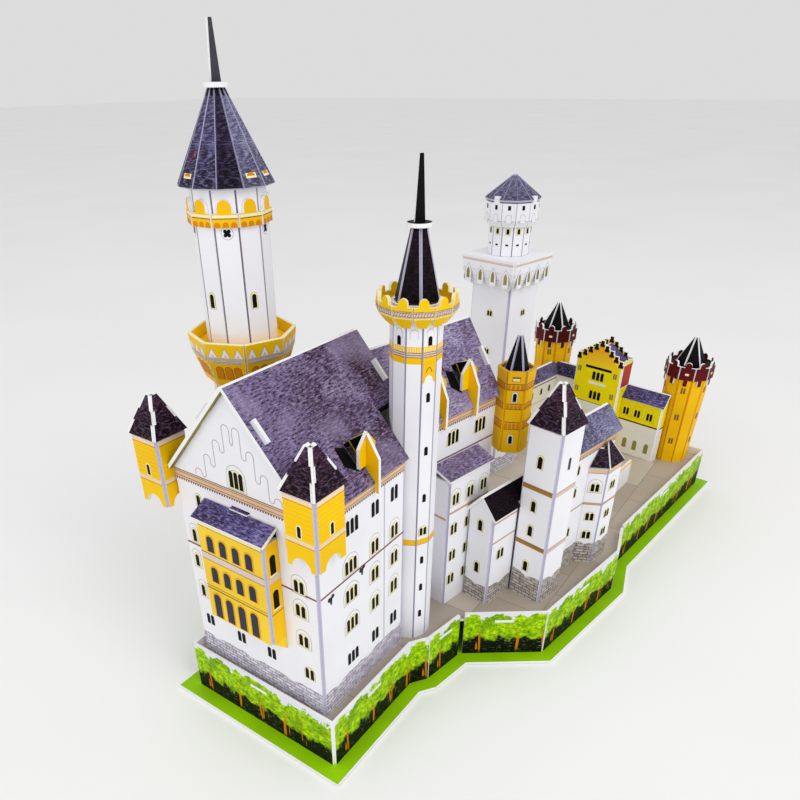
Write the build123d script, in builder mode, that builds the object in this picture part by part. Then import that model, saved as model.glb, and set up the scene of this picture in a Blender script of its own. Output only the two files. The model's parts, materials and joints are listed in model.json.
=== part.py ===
import os
from math import atan2, cos, degrees, pi, radians, sin, sqrt

from build123d import *

os.makedirs("parts", exist_ok=True)

# The castle is cut from printed foam board. A fold is cut through from the outside down to the
# inner paper, so every outward fold opens as a groove. Plan positions x, y are measured from the
# south-west corner of the west hall, x east along its south wall and y north along its gable wall.
# Heights of buildings are measured from the top of the deck.

# Foam board
FOAM = 1.6
PLY = 0.4
BOARD = FOAM + PLY
FIT = 0.2
SLOT_FIT = 0.3
TOWER_GAP = 1.0
SMALL_VERGE = 1.0

# Base plate, fence and deck
PLATE = 2.0
PLATE_MARGIN = 9.0
FENCE_HEIGHT = 36.0
FENCE_RISE = 6.0
FENCE_LINE = [
    (-6, -10), (75, -10.5), (86, -18), (119, -23.5), (154, -70.5), (252, -86), (287, -77.5),
    (465, -97), (477, 86), (325, 97), (104, 99), (88, 127), (34, 127), (20, 106), (-6, 106),
]
DECK_TOP = PLATE + FENCE_HEIGHT - FENCE_RISE
DECK_TAB = 13.0
RIB_Y = 20.0
RIB_START = 4.0
RIB_FINISH = 457.0
RIB_X = [60.0, 190.0, 330.0]
RIB_SOUTH = [-5.0, -68.0, -72.0]
RIB_NORTH = [95.0, 90.0, 86.0]

# West hall
HALL_LENGTH = 102.5
HALL_WIDTH = 100.0
HALL_SOUTH_WALL = 79.5
HALL_NORTH_WALL = 41.0
HALL_EAVE = 134.0
HALL_RIDGE = 192.0
HALL_VERGE = 3.2
HALL_EAVE_OUT = 0.8
CROSS_WALL_X = 100.0
CROSS_WALL_Y = 21.0
ROOF_TAB = 13.0
ROOF_TAB_UP = 51.0
ROOF_TAB_RISE = 2.2

# East hall, turned towards the south
EAST_X = 109.0
EAST_Y = 14.4
EAST_TURN = 10.5
EAST_LENGTH = 83.5
EAST_WIDTH = 61.0
EAST_NORTH_WALL = 12.0
EAST_RIDGE = 179.0
EAST_VERGE = 2.0
EAST_ROOF_TAB_UP = 28.0

# Dormers, two boards slotted across each other over a hole in the roof
DORMER_WIDTH = 14.0
DORMER_SETBACK = 4.3
DORMER_HOLE = 9.5
DORMER_HOLE_INSET = 1.5
DORMER_SIDE = 11.0
DORMER_PEAK = 19.0
DORMER_FIN_FRONT = 15.0
DORMER_FIN_HOOK = 5.0
DORMER_FIN_DROP = 1.0
HALL_DORMER_X = 49.0
EAST_DORMER_X = [27.0, 57.0]

# Loggia on the west gable wall
LOGGIA_Y = 25.3
LOGGIA_WIDTH = 49.5
LOGGIA_DEPTH = 11.0
LOGGIA_BOTTOM = 50.0
LOGGIA_TOP = 116.5
LOGGIA_ROOF_RISE = 6.0
LOGGIA_BRACKET = 9.0
LOGGIA_ROOF_OUT = 1.0
LOGGIA_TAB = 13.0

# Corner turrets of the west hall
TURRET_OUT = 8.0
SOUTH_TURRET_EAST = 15.5
SOUTH_TURRET_NORTH = 13.2
NORTH_TURRET_EAST = 13.0
NORTH_TURRET_DEPTH = 21.5
TURRET_BOTTOM = 111.5
TURRET_TOP = 152.0
TURRET_ARCH = 6.0
TURRET_ROOF_RISE = 21.0
TURRET_ROOF_TOP = 1.8
HIP_FINGER = 1.5

# Tall tower on the north side of the west hall
TALL_X = 64.5
TALL_Y = 101.5
TALL_TURN = 14.8
TALL_SIDES = 10
TALL_RADIUS = 18.3
TALL_HEIGHT = 272.5
TALL_CROWN_DROP = 21.2
TALL_CROWN_HEIGHT = 6.5
TALL_MERLON = (7.0, 6.3)
TALL_CONE_TURN = 10.0
TALL_CONE_RADIUS = 23.6
TALL_CONE_SINK = 3.8
TALL_CONE_HEIGHT = 41.1
TALL_TIP_LIFT = 1.0
TALL_SPIRE = 27.0
TALL_SPIRE_TURN = -86.0

# Balcony of the tall tower, its foot a fixed drop below the ridge of the hall
BALCONY_TURN = 21.3
BALCONY_DROP = 23.0
BALCONY_TAPER = 16.0
BALCONY_BAND = 9.4
BALCONY_BAND_RADIUS = 27.6
BALCONY_RADIUS = 29.1
BALCONY_FLOOR_LIFT = 1.5

# Stair tower at the joint of the two halls
STAIR_X = 95.5
STAIR_Y = 4.8
STAIR_TURN = 26.3
STAIR_RADIUS = 12.5
STAIR_HEIGHT = 218.0
STAIR_CROWN_TURN = 18.3
STAIR_CROWN_DROP = 9.2
STAIR_PETAL = 5.7
STAIR_PETAL_INSET = 0.2
STAIR_CROWN_HEIGHT = 4.7
STAIR_CROWN_RADIUS = 19.8
STAIR_MERLON = (4.8, 4.2)
STAIR_CONE_TURN = 19.2
STAIR_CONE_RADIUS = 10.8
STAIR_CONE_LIFT = 0.3
STAIR_CONE_HEIGHT = 33.8
STAIR_TIP_LIFT = 0.8
STAIR_SPIRE = 31.5
STAIR_SPIRE_TURN = -65.0

# Round merlon heads, cut in straight facets
HEAD_FACETS = 12

# Tips of the two slender towers
CONE_TIP_RADIUS = 2.8
DISC_RADIUS = 6.1
SPIRE_WIDTH = 5.2
SPIRE_TIP = 2.0

# Lean-to annex on the south wall of the east hall
LEAN_X = 20.5
LEAN_LENGTH = 43.0
LEAN_DEPTH = 14.8
LEAN_TOP = 98.0
LEAN_ROOF_RISE = 6.0

# Gabled annex in front of it
GABLED_X = 41.5
GABLED_END = 93.5
GABLED_FRONT = 36.0
GABLED_EAVE = 69.5
GABLED_RISE = 13.5

# Square front tower
FRONT_X = 68.0
FRONT_SIDE = 25.5
FRONT_FRONT = 61.5
FRONT_HEIGHT = 130.0
FRONT_ROOF_RISE = 26.0

# Small hall behind it, with its bay
SOUTH_LENGTH = 70.0
SOUTH_FRONT = 50.0
SOUTH_WIDTH = 24.0
SOUTH_EAVE = 98.5
SOUTH_RISE = 15.5
SOUTH_EAVE_OUT = 1.5
BAY_X = 130.2
BAY_FRONT = 61.0
BAY_FACE = 18.8
BAY_SLANT = 8.1
BAY_TOP = 80.0
BAY_ROOF_RISE = 19.0

# Hanging turret at the corner of the east hall
HANGING_X = 94.2
HANGING_Y = -5.8
HANGING_TURN = 17.0
HANGING_RADIUS = 10.6
HANGING_RIM_RADIUS = 11.2
HANGING_FOOT = 95.0
HANGING_FLARE = 140.0
HANGING_RIM_HEIGHT = 13.0
HANGING_CONE_RADIUS = 6.6
HANGING_CONE_RISE = 22.5

# White square tower
WHITE_X = 316.9
WHITE_Y = 54.2
WHITE_TURN = 10.5
WHITE_SIDE = 39.0
WHITE_SHAFT = 168.0
GALLERY_HEIGHT = 23.0
GALLERY_SIDE = 53.0
GALLERY_CURVE = [(0.0, 39.0), (3.0, 43.6), (7.5, 47.6), (13.0, 49.8)]
DRUM_SIDES = 12
DRUM_RADIUS = 15.3
DRUM_HEIGHT = 38.5
RING_DROP = 15.5
RING_FLARE = 4.0
RING_HEIGHT = 12.6
RING_RADIUS = 19.9
RING_TAB = (5.0, 4.5)
WHITE_ROOF_LIFT = 1.1
WHITE_ROOF_RADIUS = 21.2
WHITE_ROOF_RISE = 17.0

# Gatehouse
GATE_X = 416.0
GATE_Y = -33.0
GATE_TURN = 9.5
GATE_START = 14.5
GATE_WIDTH = 47.5
GATE_DEPTH = 19.0
GATE_EAVE = 88.0
GATE_STEP = 3.8
GATE_STEPS = 4
GATE_MERLON = (3.6, 3.2)
GATE_MERLON_PLACES = (0.32, 0.68)
GATE_ROOF_RISE = 11.0
SOUTH_WING_X = 10.7
SOUTH_WING_END = -25.8
SOUTH_WING_DEPTH = 13.8
SOUTH_WING_EAVE = 54.0
SOUTH_WING_RISE = 11.0
NORTH_WING_X = 6.0
NORTH_WING_Y = 84.5
NORTH_WING_REACH = 78.0
NORTH_WING_DEPTH = 14.0
NORTH_WING_EAVE = 60.0
NORTH_WING_RISE = 10.5
WING_EAVE_OUT = 0.6

# Low wall across the courtyard
TERRACE_LINE = [(346.5, -51.7), (372.6, -53.7)]
TERRACE_HEIGHT = 22.0

# Two gate towers with crowns and cones of the same pattern
GATE_TOWER_SIDES = 10
GATE_TOWER_RADIUS = 16.9
GATE_TOWER_FOOT_RADIUS = 14.4
SOUTH_GATE_TOWER = (36.9, -29.9)
NORTH_GATE_TOWER = (23.2, 101.6)
SOUTH_GATE_HEIGHT = 91.0
NORTH_GATE_HEIGHT = 99.5
GATE_CROWN_DROP = 8.5
GATE_CROWN_HEIGHT = 11.5
GATE_MERLON_SIZE = (5.2, 4.6)
GATE_PENDANT_SIZE = (3.4, 5.4)
GATE_CONE_RADIUS = 11.6
GATE_CONE_HEIGHT = 23.0


def fence_face():
    """Ground plan inside the outer face of the fence."""
    with BuildSketch() as face:
        Polygon(*FENCE_LINE, align=None)
    return face.sketch


with BuildSketch() as plate_outline:
    add(fence_face())
    offset(amount=PLATE_MARGIN, kind=Kind.INTERSECTION)
CENTRE = plate_outline.sketch.bounding_box().center()


def spot(x, y, z=0.0, turn=0.0):
    """Level plane at plan position x, y and height z over the deck, turned towards the south."""
    return Plane(
        origin=(x - CENTRE.X, y - CENTRE.Y, DECK_TOP + z),
        x_dir=(cos(radians(turn)), -sin(radians(turn)), 0),
        z_dir=(0, 0, 1),
    )


def within(site, x, y, z=0.0, turn=0.0):
    """Level plane at a place given in another plane's own directions."""
    origin = site.from_local_coords(Vector(x, y, z))
    angle = radians(turn)
    return Plane(origin=origin, x_dir=site.x_dir * cos(angle) - site.y_dir * sin(angle), z_dir=(0, 0, 1))


def save(piece, label):
    """Label a finished piece and write its file."""
    piece.part.label = label
    export_step(piece.part, f"parts/{label}.step")


def polygon_round(radius, sides=8):
    """Corners of a regular outline in order round its centre, one side facing south."""
    start = -pi / 2 - pi / sides
    return [(radius * cos(start + 2 * pi * i / sides), radius * sin(start + 2 * pi * i / sides))
            for i in range(sides)]


def rectangle(x0, y0, x1, y1):
    """Corners of a rectangle in order round its centre."""
    return [(x0, y0), (x1, y0), (x1, y1), (x0, y1)]


def fold_line(corners, closed=True):
    """Fold line that lies a foam's thickness inside the outer faces."""
    points = [Vector(*corner) for corner in corners]
    count = len(points)
    line = []
    for i, point in enumerate(points):
        before = points[i - 1] if closed or i > 0 else None
        after = points[(i + 1) % count] if closed or i < count - 1 else None
        sides = []
        if before is not None:
            sides.append((point - before).normalized())
        if after is not None:
            sides.append((after - point).normalized())
        normals = [Vector(side.Y, -side.X) for side in sides]
        if len(normals) == 2:
            bisector = (normals[0] + normals[1]) / (1 + normals[0].dot(normals[1]))
        else:
            bisector = normals[0]
        line.append(point - bisector * FOAM)
    return line


def sheet_section(site, corners, closed=True):
    """Section of an upright sheet, given by its outer faces and folded at its corners."""
    line = fold_line(corners, closed)
    spans = len(line) if closed else len(line) - 1
    with BuildSketch(site) as section:
        for i in range(spans):
            start = line[i]
            end = line[(i + 1) % len(line)]
            along = (end - start).normalized()
            out = Vector(along.Y, -along.X)
            Polygon(
                start - out * PLY, end - out * PLY, end + out * FOAM, start + out * FOAM, align=None
            )
    return section.sketch


def board(site, points, thickness=BOARD, back=PLY):
    """Flat board on points of a site that run round it anticlockwise, seen from its printed face."""
    corners = [site.from_local_coords(Vector(*point)) for point in points]
    across = corners[1] - corners[0]
    facing = across.cross(corners[-1] - corners[0])
    plane = Plane(origin=corners[0], x_dir=across, z_dir=facing).offset(-back)
    with BuildSketch(plane) as outline:
        flat = [plane.to_local_coords(corner) for corner in corners]
        Polygon(*[(corner.X, corner.Y) for corner in flat], align=None)
    return extrude(outline.sketch, amount=thickness, mode=Mode.PRIVATE)


def tapered_panels(site, outlines):
    """Boards between stacked level outlines, each an (height, corners) pair of folds."""
    panels = []
    for (low, foot), (high, head) in zip(outlines, outlines[1:]):
        for i in range(len(foot)):
            j = (i + 1) % len(foot)
            panels.append(board(site, [(*foot[i], low), (*foot[j], low), (*head[j], high), (*head[i], high)]))
    return panels


def block(site, corners, bottom, top):
    """Upright prism used to cut clear space."""
    with BuildSketch(site.offset(bottom)) as outline:
        Polygon(*corners, align=None)
    return extrude(outline.sketch, amount=top - bottom, mode=Mode.PRIVATE)


def slope_length(run, rise):
    """Length of a slope."""
    return sqrt(run * run + rise * rise)


class GableRoof:
    """Measures of a symmetrical gable roof whose ridge runs along its site's x axis."""

    def __init__(self, eave_y, eave, width, ridge):
        self.eave_y = eave_y
        self.eave = eave
        self.ridge_y = eave_y + width / 2
        self.far_y = eave_y + width
        self.ridge = ridge
        self.run = width / 2
        self.rise = ridge - eave
        self.length = slope_length(self.run, self.rise)
        self.drop = PLY * self.length / self.run

    def sheet(self, site, x0, x1):
        """Two boards folded along the ridge."""
        near = board(site, [(x0, self.eave_y, self.eave), (x1, self.eave_y, self.eave),
                            (x1, self.ridge_y, self.ridge), (x0, self.ridge_y, self.ridge)])
        far = board(site, [(x1, self.far_y, self.eave), (x0, self.far_y, self.eave),
                           (x0, self.ridge_y, self.ridge), (x1, self.ridge_y, self.ridge)])
        return [near, far]

    def underside(self, y):
        """Height at which a wall passes just under the roof."""
        reach = y - self.eave_y if y <= self.ridge_y else self.far_y - y
        return self.eave + reach * self.rise / self.run - self.drop - FIT

    def on_slope(self, up, out, far=False):
        """Point y, z at a distance up the slope and out from its folds."""
        along_y, along_z = self.run / self.length, self.rise / self.length
        y = up * along_y - out * along_z
        z = self.eave + up * along_z + out * along_y
        return (self.far_y - y, z) if far else (self.eave_y + y, z)

    def tab_profile(self, up, far=False, length=ROOF_TAB, rise=BOARD + ROOF_TAB_RISE, grow=0.0):
        """Outline y, z of a tab that stands square through a slope."""
        low, high = up - length / 2 - grow, up + length / 2 + grow
        return [self.on_slope(low, -BOARD, far), self.on_slope(high, -BOARD, far),
                self.on_slope(high, rise, far), self.on_slope(low, rise, far)]


def cross_board(site, x, profile, thickness=BOARD):
    """Upright board across a site at x, from an outline of y, z points."""
    plane = Plane(
        origin=site.from_local_coords(Vector(x, 0, 0)), x_dir=site.y_dir, z_dir=site.x_dir
    )
    with BuildSketch(plane) as outline:
        Polygon(*profile, align=None)
    return extrude(outline.sketch, amount=thickness, mode=Mode.PRIVATE)


def long_board(site, y, profile, thickness=BOARD):
    """Upright board along a site at y, from an outline of x, z points, thick towards the north."""
    plane = Plane(
        origin=site.from_local_coords(Vector(0, y, 0)), x_dir=site.x_dir, z_dir=-site.y_dir
    )
    with BuildSketch(plane) as outline:
        Polygon(*profile, align=None)
    return extrude(outline.sketch, amount=-thickness, mode=Mode.PRIVATE)


def gable_profile(roof, y0, y1, foot):
    """Outline of a gable wall that ends under a roof."""
    middle = [(roof.ridge_y, roof.underside(roof.ridge_y))] if y0 < roof.ridge_y < y1 else []
    return [(y0, foot), (y1, foot), (y1, roof.underside(y1)), *middle, (y0, roof.underside(y0))]


def roof_slots(site, roof, x, up, sides=(False, True)):
    """Cutters for the slots that a gable wall's tabs pass through."""
    return [
        cross_board(site, x - SLOT_FIT, roof.tab_profile(up, far, rise=3 * BOARD, grow=SLOT_FIT),
                    BOARD + 2 * SLOT_FIT)
        for far in sides
    ]


# Base plate
with BuildPart() as base_plate:
    with BuildSketch(spot(0, 0, -DECK_TOP)):
        add(plate_outline.sketch)
    extrude(amount=PLATE)
save(base_plate, "base_plate")


def fence_tabs():
    """Middle points and directions of the fence panels that hold a deck tab."""
    tabs = []
    for start, end in zip(FENCE_LINE, FENCE_LINE[1:] + FENCE_LINE[:1]):
        a, b = Vector(*start), Vector(*end)
        if (b - a).length > 2 * DECK_TAB:
            tabs.append(((a + b) / 2, degrees(atan2(b.Y - a.Y, b.X - a.X))))
    return tabs


def tab_blocks(length, thickness, depth):
    """Blocks at the deck's edge, one for each tab."""
    blocks = []
    for middle, heading in fence_tabs():
        site = spot(middle.X, middle.Y, -thickness / 2 - BOARD / 2, -heading)
        with BuildSketch(site) as outline:
            Rectangle(length, depth, align=(Align.CENTER, Align.MIN))
        blocks.append(extrude(outline.sketch, amount=thickness, mode=Mode.PRIVATE))
    return blocks


# Deck, held by tabs through the fence
with BuildPart() as deck:
    with BuildSketch(spot(0, 0, -BOARD)) as deck_outline:
        add(fence_face())
        offset(amount=-BOARD - FIT, kind=Kind.INTERSECTION)
    extrude(amount=BOARD)
    add(tab_blocks(DECK_TAB, BOARD, 3 * BOARD))
save(deck, "deck")

# Fence in four folded strips
fence_strips = {
    "fence_south_west": [-1, 0, 1, 2, 3],
    "fence_south": [3, 4, 5, 6],
    "fence_south_east": [6, 7, 8],
    "fence_north": [8, 9, 10, 11, 12, 13, 14],
}
for strip_name, strip_corners in fence_strips.items():
    strip = [Vector(*FENCE_LINE[i]) for i in strip_corners]
    strip[0] += (strip[1] - strip[0]).normalized() * BOARD
    strip[-1] += (strip[-2] - strip[-1]).normalized() * BOARD
    with BuildPart() as fence:
        extrude(sheet_section(spot(0, 0, PLATE - DECK_TOP), [(p.X, p.Y) for p in strip], False),
                amount=FENCE_HEIGHT)
        add(tab_blocks(DECK_TAB + 2 * SLOT_FIT, BOARD + 2 * SLOT_FIT, 2 * BOARD), mode=Mode.SUBTRACT)
    save(fence, strip_name)

# Ribs that carry the deck, slotted across each other
RIB_HEIGHT = DECK_TOP - BOARD - PLATE
RIB_SLOT = BOARD + 2 * SLOT_FIT
RIB_SEAT = spot(0, 0, PLATE - DECK_TOP)
with BuildPart() as deck_rib_long:
    add(long_board(RIB_SEAT, RIB_Y, rectangle(RIB_START, 0, RIB_FINISH, RIB_HEIGHT)))
    for rib_x in RIB_X:
        with Locations(spot(rib_x, RIB_Y, PLATE - DECK_TOP)):
            Box(RIB_SLOT, 3 * BOARD, RIB_HEIGHT / 2 + FIT, align=(Align.CENTER, Align.CENTER, Align.MIN),
                mode=Mode.SUBTRACT)
save(deck_rib_long, "deck_rib_long")
with BuildPart() as deck_ribs_cross:
    for rib_x, rib_low, rib_high in zip(RIB_X, RIB_SOUTH, RIB_NORTH):
        add(cross_board(RIB_SEAT, rib_x - BOARD / 2, rectangle(rib_low, 0, rib_high, RIB_HEIGHT)))
        with Locations(spot(rib_x, RIB_Y + BOARD / 2, PLATE - DECK_TOP + RIB_HEIGHT)):
            Box(3 * BOARD, RIB_SLOT, RIB_HEIGHT / 2 + FIT, align=(Align.CENTER, Align.CENTER, Align.MAX),
                mode=Mode.SUBTRACT)
save(deck_ribs_cross, "deck_ribs_cross")

# West hall walls: north wall, gable wall and south wall of one folded sheet
HALL = spot(0, 0)
hall_roof = GableRoof(-HALL_EAVE_OUT, HALL_EAVE, HALL_WIDTH + 2 * HALL_EAVE_OUT, HALL_RIDGE)
TALL_OUT = TALL_RADIUS + BOARD
STAIR_OUT = STAIR_RADIUS + BOARD
loggia_middle = LOGGIA_Y + LOGGIA_WIDTH / 2
loggia_seat = LOGGIA_TOP + LOGGIA_ROOF_RISE
with BuildPart() as west_hall_walls:
    extrude(sheet_section(
        HALL, [(HALL_NORTH_WALL, HALL_WIDTH), (0, HALL_WIDTH), (0, 0), (HALL_SOUTH_WALL, 0)], False),
        amount=HALL_EAVE)
    add(cross_board(HALL, 0, gable_profile(hall_roof, FOAM, HALL_WIDTH - FOAM, HALL_EAVE - BOARD)))
    for far in (False, True):
        add(cross_board(HALL, 0, hall_roof.tab_profile(ROOF_TAB_UP, far)))
    with Locations(within(HALL, 0, loggia_middle, loggia_seat)):
        Box(4 * BOARD, LOGGIA_TAB + 2 * SLOT_FIT, BOARD + 2 * SLOT_FIT,
            align=(Align.CENTER, Align.CENTER, Align.MIN), mode=Mode.SUBTRACT)
save(west_hall_walls, "west_hall_walls")

# Cross wall where the two halls meet
with BuildPart() as west_hall_cross_wall:
    extrude(sheet_section(
        HALL, [(CROSS_WALL_X, CROSS_WALL_Y), (CROSS_WALL_X, HALL_WIDTH),
               (TALL_X + TALL_OUT + TOWER_GAP, HALL_WIDTH)], False), amount=HALL_EAVE)
    add(cross_board(HALL, CROSS_WALL_X - BOARD,
                    gable_profile(hall_roof, CROSS_WALL_Y, HALL_WIDTH - FOAM, HALL_EAVE - BOARD)))
    for far in (False, True):
        add(cross_board(HALL, CROSS_WALL_X - BOARD, hall_roof.tab_profile(ROOF_TAB_UP, far)))
save(west_hall_cross_wall, "west_hall_cross_wall")


def dormer_hole(site, roof, x):
    """Cutter for the roof hole behind a dormer board."""
    half = DORMER_WIDTH / 2 - DORMER_HOLE_INSET
    near = roof.eave_y + DORMER_SETBACK + BOARD
    return block(site, rectangle(x - half, near, x + half, near + DORMER_HOLE), roof.eave - BOARD, roof.ridge)


def corner_clearing(site, x0, y0, x1, y1):
    """Cutter that clears a roof over a rectangle."""
    return block(site, rectangle(x0, y0, x1, y1), HALL_EAVE - 5 * BOARD, HALL_RIDGE)


# West hall roof with its slots, dormer hole and clearings round turrets and towers
with BuildPart() as west_hall_roof:
    add(hall_roof.sheet(HALL, -HALL_VERGE, HALL_LENGTH))
    add(roof_slots(HALL, hall_roof, 0, ROOF_TAB_UP), mode=Mode.SUBTRACT)
    add(roof_slots(HALL, hall_roof, CROSS_WALL_X - BOARD, ROOF_TAB_UP), mode=Mode.SUBTRACT)
    add(dormer_hole(HALL, hall_roof, HALL_DORMER_X), mode=Mode.SUBTRACT)
    beyond = 3 * TURRET_OUT
    add(corner_clearing(HALL, STAIR_X - STAIR_OUT, -beyond, HALL_LENGTH + beyond, STAIR_Y + STAIR_OUT),
        mode=Mode.SUBTRACT)
    add(corner_clearing(HALL, TALL_X - TALL_OUT, TALL_Y - TALL_OUT, TALL_X + TALL_OUT, HALL_WIDTH + beyond),
        mode=Mode.SUBTRACT)
    add(corner_clearing(HALL, -beyond, -beyond, SOUTH_TURRET_EAST + HIP_FINGER, SOUTH_TURRET_NORTH + HIP_FINGER),
        mode=Mode.SUBTRACT)
    add(corner_clearing(HALL, -beyond, HALL_WIDTH - FIT, NORTH_TURRET_EAST + HIP_FINGER, HALL_WIDTH + beyond),
        mode=Mode.SUBTRACT)
save(west_hall_roof, "west_hall_roof")

# East hall walls: south wall, gable wall and north wall of one folded sheet
EAST = spot(EAST_X, EAST_Y, 0, EAST_TURN)
east_roof = GableRoof(-HALL_EAVE_OUT, HALL_EAVE, EAST_WIDTH + 2 * HALL_EAVE_OUT, EAST_RIDGE)
with BuildPart() as east_hall_walls:
    extrude(sheet_section(
        EAST, [(0, 0), (EAST_LENGTH, 0), (EAST_LENGTH, EAST_WIDTH), (-EAST_NORTH_WALL, EAST_WIDTH)], False),
        amount=HALL_EAVE)
    add(cross_board(EAST, EAST_LENGTH - BOARD,
                    gable_profile(east_roof, FOAM, EAST_WIDTH - FOAM, HALL_EAVE - BOARD)))
    for far in (False, True):
        add(cross_board(EAST, EAST_LENGTH - BOARD, east_roof.tab_profile(EAST_ROOF_TAB_UP, far)))
save(east_hall_walls, "east_hall_walls")

# East hall roof, cut to butt against the west hall and round the hanging turret
HANGING = within(EAST, HANGING_X, HANGING_Y, 0, EAST_TURN - HANGING_TURN)
with BuildPart() as east_hall_roof:
    add(east_roof.sheet(EAST, -4 * EAST_NORTH_WALL, EAST_LENGTH + EAST_VERGE))
    add(roof_slots(EAST, east_roof, EAST_LENGTH - BOARD, EAST_ROOF_TAB_UP), mode=Mode.SUBTRACT)
    for dormer_x in EAST_DORMER_X:
        add(dormer_hole(EAST, east_roof, dormer_x), mode=Mode.SUBTRACT)
    add(corner_clearing(HALL, -HALL_LENGTH, -HALL_WIDTH, CROSS_WALL_X + FIT, 2 * HALL_WIDTH), mode=Mode.SUBTRACT)
    add(corner_clearing(HALL, STAIR_X - STAIR_OUT, -beyond, STAIR_X + STAIR_OUT, STAIR_Y + STAIR_OUT),
        mode=Mode.SUBTRACT)
    add(block(HANGING, polygon_round(HANGING_RIM_RADIUS + BOARD, 6), HANGING_FOOT, HALL_RIDGE),
        mode=Mode.SUBTRACT)
save(east_hall_roof, "east_hall_roof")


def roof_surface(roof, y):
    """Height of the printed face of the near slope."""
    return roof.eave + ((y - roof.eave_y) * roof.rise + FOAM * roof.length) / roof.run


def dormer_front(site, roof, x):
    """Front board of a dormer, slotted from below for its fin."""
    near = roof.eave_y + DORMER_SETBACK
    foot = roof_surface(roof, near + BOARD) + FIT / 2
    half = DORMER_WIDTH / 2
    gable = long_board(site, near, [
        (x - half, foot), (x + half, foot), (x + half, foot + DORMER_SIDE),
        (x, foot + DORMER_PEAK), (x - half, foot + DORMER_SIDE)])
    slot = block(site, rectangle(x - BOARD / 2 - FIT / 2, near - BOARD, x + BOARD / 2 + FIT / 2, near + 2 * BOARD),
                 foot - BOARD, foot + DORMER_SIDE)
    return gable - slot


def dormer_fin(site, roof, x):
    """Fin of a dormer that hooks over the eave and runs back to the roof."""
    near = roof.eave_y + DORMER_SETBACK
    far = near + BOARD + DORMER_HOLE
    eave = roof.eave_y - FIT - FOAM * roof.rise / roof.length
    edge = eave - BOARD
    foot = roof_surface(roof, near + BOARD) + FIT / 2
    peak = foot + DORMER_PEAK - DORMER_FIN_DROP
    fin = cross_board(site, x - BOARD / 2, [
        (edge, roof.eave - DORMER_FIN_HOOK), (eave, roof.eave - DORMER_FIN_HOOK),
        (eave, roof_surface(roof, eave) + FIT), (far, roof_surface(roof, far) + FIT),
        (near + BOARD, peak), (near, peak),
        (edge, roof.eave + DORMER_FIN_FRONT)])
    slot = block(site, rectangle(x - BOARD, near - FIT / 2, x + BOARD, near + BOARD + FIT / 2),
                 foot + DORMER_SIDE - FIT, foot + 2 * DORMER_PEAK)
    return fin - slot


# Dormers
with BuildPart() as dormer_fronts:
    add(dormer_front(HALL, hall_roof, HALL_DORMER_X))
    for dormer_x in EAST_DORMER_X:
        add(dormer_front(EAST, east_roof, dormer_x))
save(dormer_fronts, "dormer_fronts")
with BuildPart() as dormer_fins:
    add(dormer_fin(HALL, hall_roof, HALL_DORMER_X))
    for dormer_x in EAST_DORMER_X:
        add(dormer_fin(EAST, east_roof, dormer_x))
save(dormer_fins, "dormer_fins")

# Loggia: front and two cheeks of one folded sheet, the cheeks ending in brackets
LOGGIA_FAR = LOGGIA_Y + LOGGIA_WIDTH
with BuildPart() as loggia_walls:
    extrude(sheet_section(
        HALL.offset(LOGGIA_BOTTOM),
        [(-FIT, LOGGIA_FAR), (-LOGGIA_DEPTH, LOGGIA_FAR), (-LOGGIA_DEPTH, LOGGIA_Y), (-FIT, LOGGIA_Y)], False),
        amount=LOGGIA_TOP - LOGGIA_BOTTOM)
    for cheek_y in (LOGGIA_Y, LOGGIA_FAR - BOARD):
        add(long_board(HALL, cheek_y, [
            (-FIT, LOGGIA_BOTTOM - LOGGIA_BRACKET), (-FIT, LOGGIA_BOTTOM + BOARD),
            (-LOGGIA_DEPTH + FOAM, LOGGIA_BOTTOM + BOARD), (-LOGGIA_DEPTH + FOAM, LOGGIA_BOTTOM)]))
save(loggia_walls, "loggia_walls")

# Loggia roof, hung by its tab in the slot of the gable wall
with BuildPart() as loggia_roof:
    loggia_eave = -LOGGIA_DEPTH - LOGGIA_ROOF_OUT
    add(board(HALL, [
        (loggia_eave, LOGGIA_FAR + LOGGIA_ROOF_OUT, LOGGIA_TOP),
        (loggia_eave, LOGGIA_Y - LOGGIA_ROOF_OUT, LOGGIA_TOP),
        (-FIT - PLY, LOGGIA_Y - LOGGIA_ROOF_OUT, loggia_seat),
        (-FIT - PLY, LOGGIA_FAR + LOGGIA_ROOF_OUT, loggia_seat)]))
    add(block(HALL, rectangle(-FIT, 0, HALL_WIDTH, HALL_WIDTH), 0, HALL_EAVE), mode=Mode.SUBTRACT)
    with Locations(within(HALL, -BOARD, loggia_middle, loggia_seat + SLOT_FIT)):
        Box(2 * BOARD, LOGGIA_TAB, FOAM, align=(Align.MIN, Align.CENTER, Align.MIN))
save(loggia_roof, "loggia_roof")


def panel_plane(site, start, end, height):
    """Plane on the folds of a panel, x along it and z outwards, from the panel's lower start corner."""
    along = (Vector(*end) - Vector(*start)).normalized()
    return Plane(
        origin=site.from_local_coords(Vector(*start, height)),
        x_dir=site.x_dir * along.X + site.y_dir * along.Y,
        z_dir=site.x_dir * along.Y - site.y_dir * along.X,
    )


def foot_arches(site, corners, bottom, radius):
    """Cutters for an arch under the middle of each wide panel."""
    cutters = []
    for start, end in zip(corners, corners[1:]):
        width = (Vector(*end) - Vector(*start)).length
        if width > 2 * radius:
            with BuildSketch(panel_plane(site, start, end, bottom)) as arch:
                with Locations((width / 2, 0)):
                    Circle(min(radius, width / 2 - BOARD))
            cutters.append(extrude(arch.sketch, amount=2 * BOARD, both=True, mode=Mode.PRIVATE))
    return cutters


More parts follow.
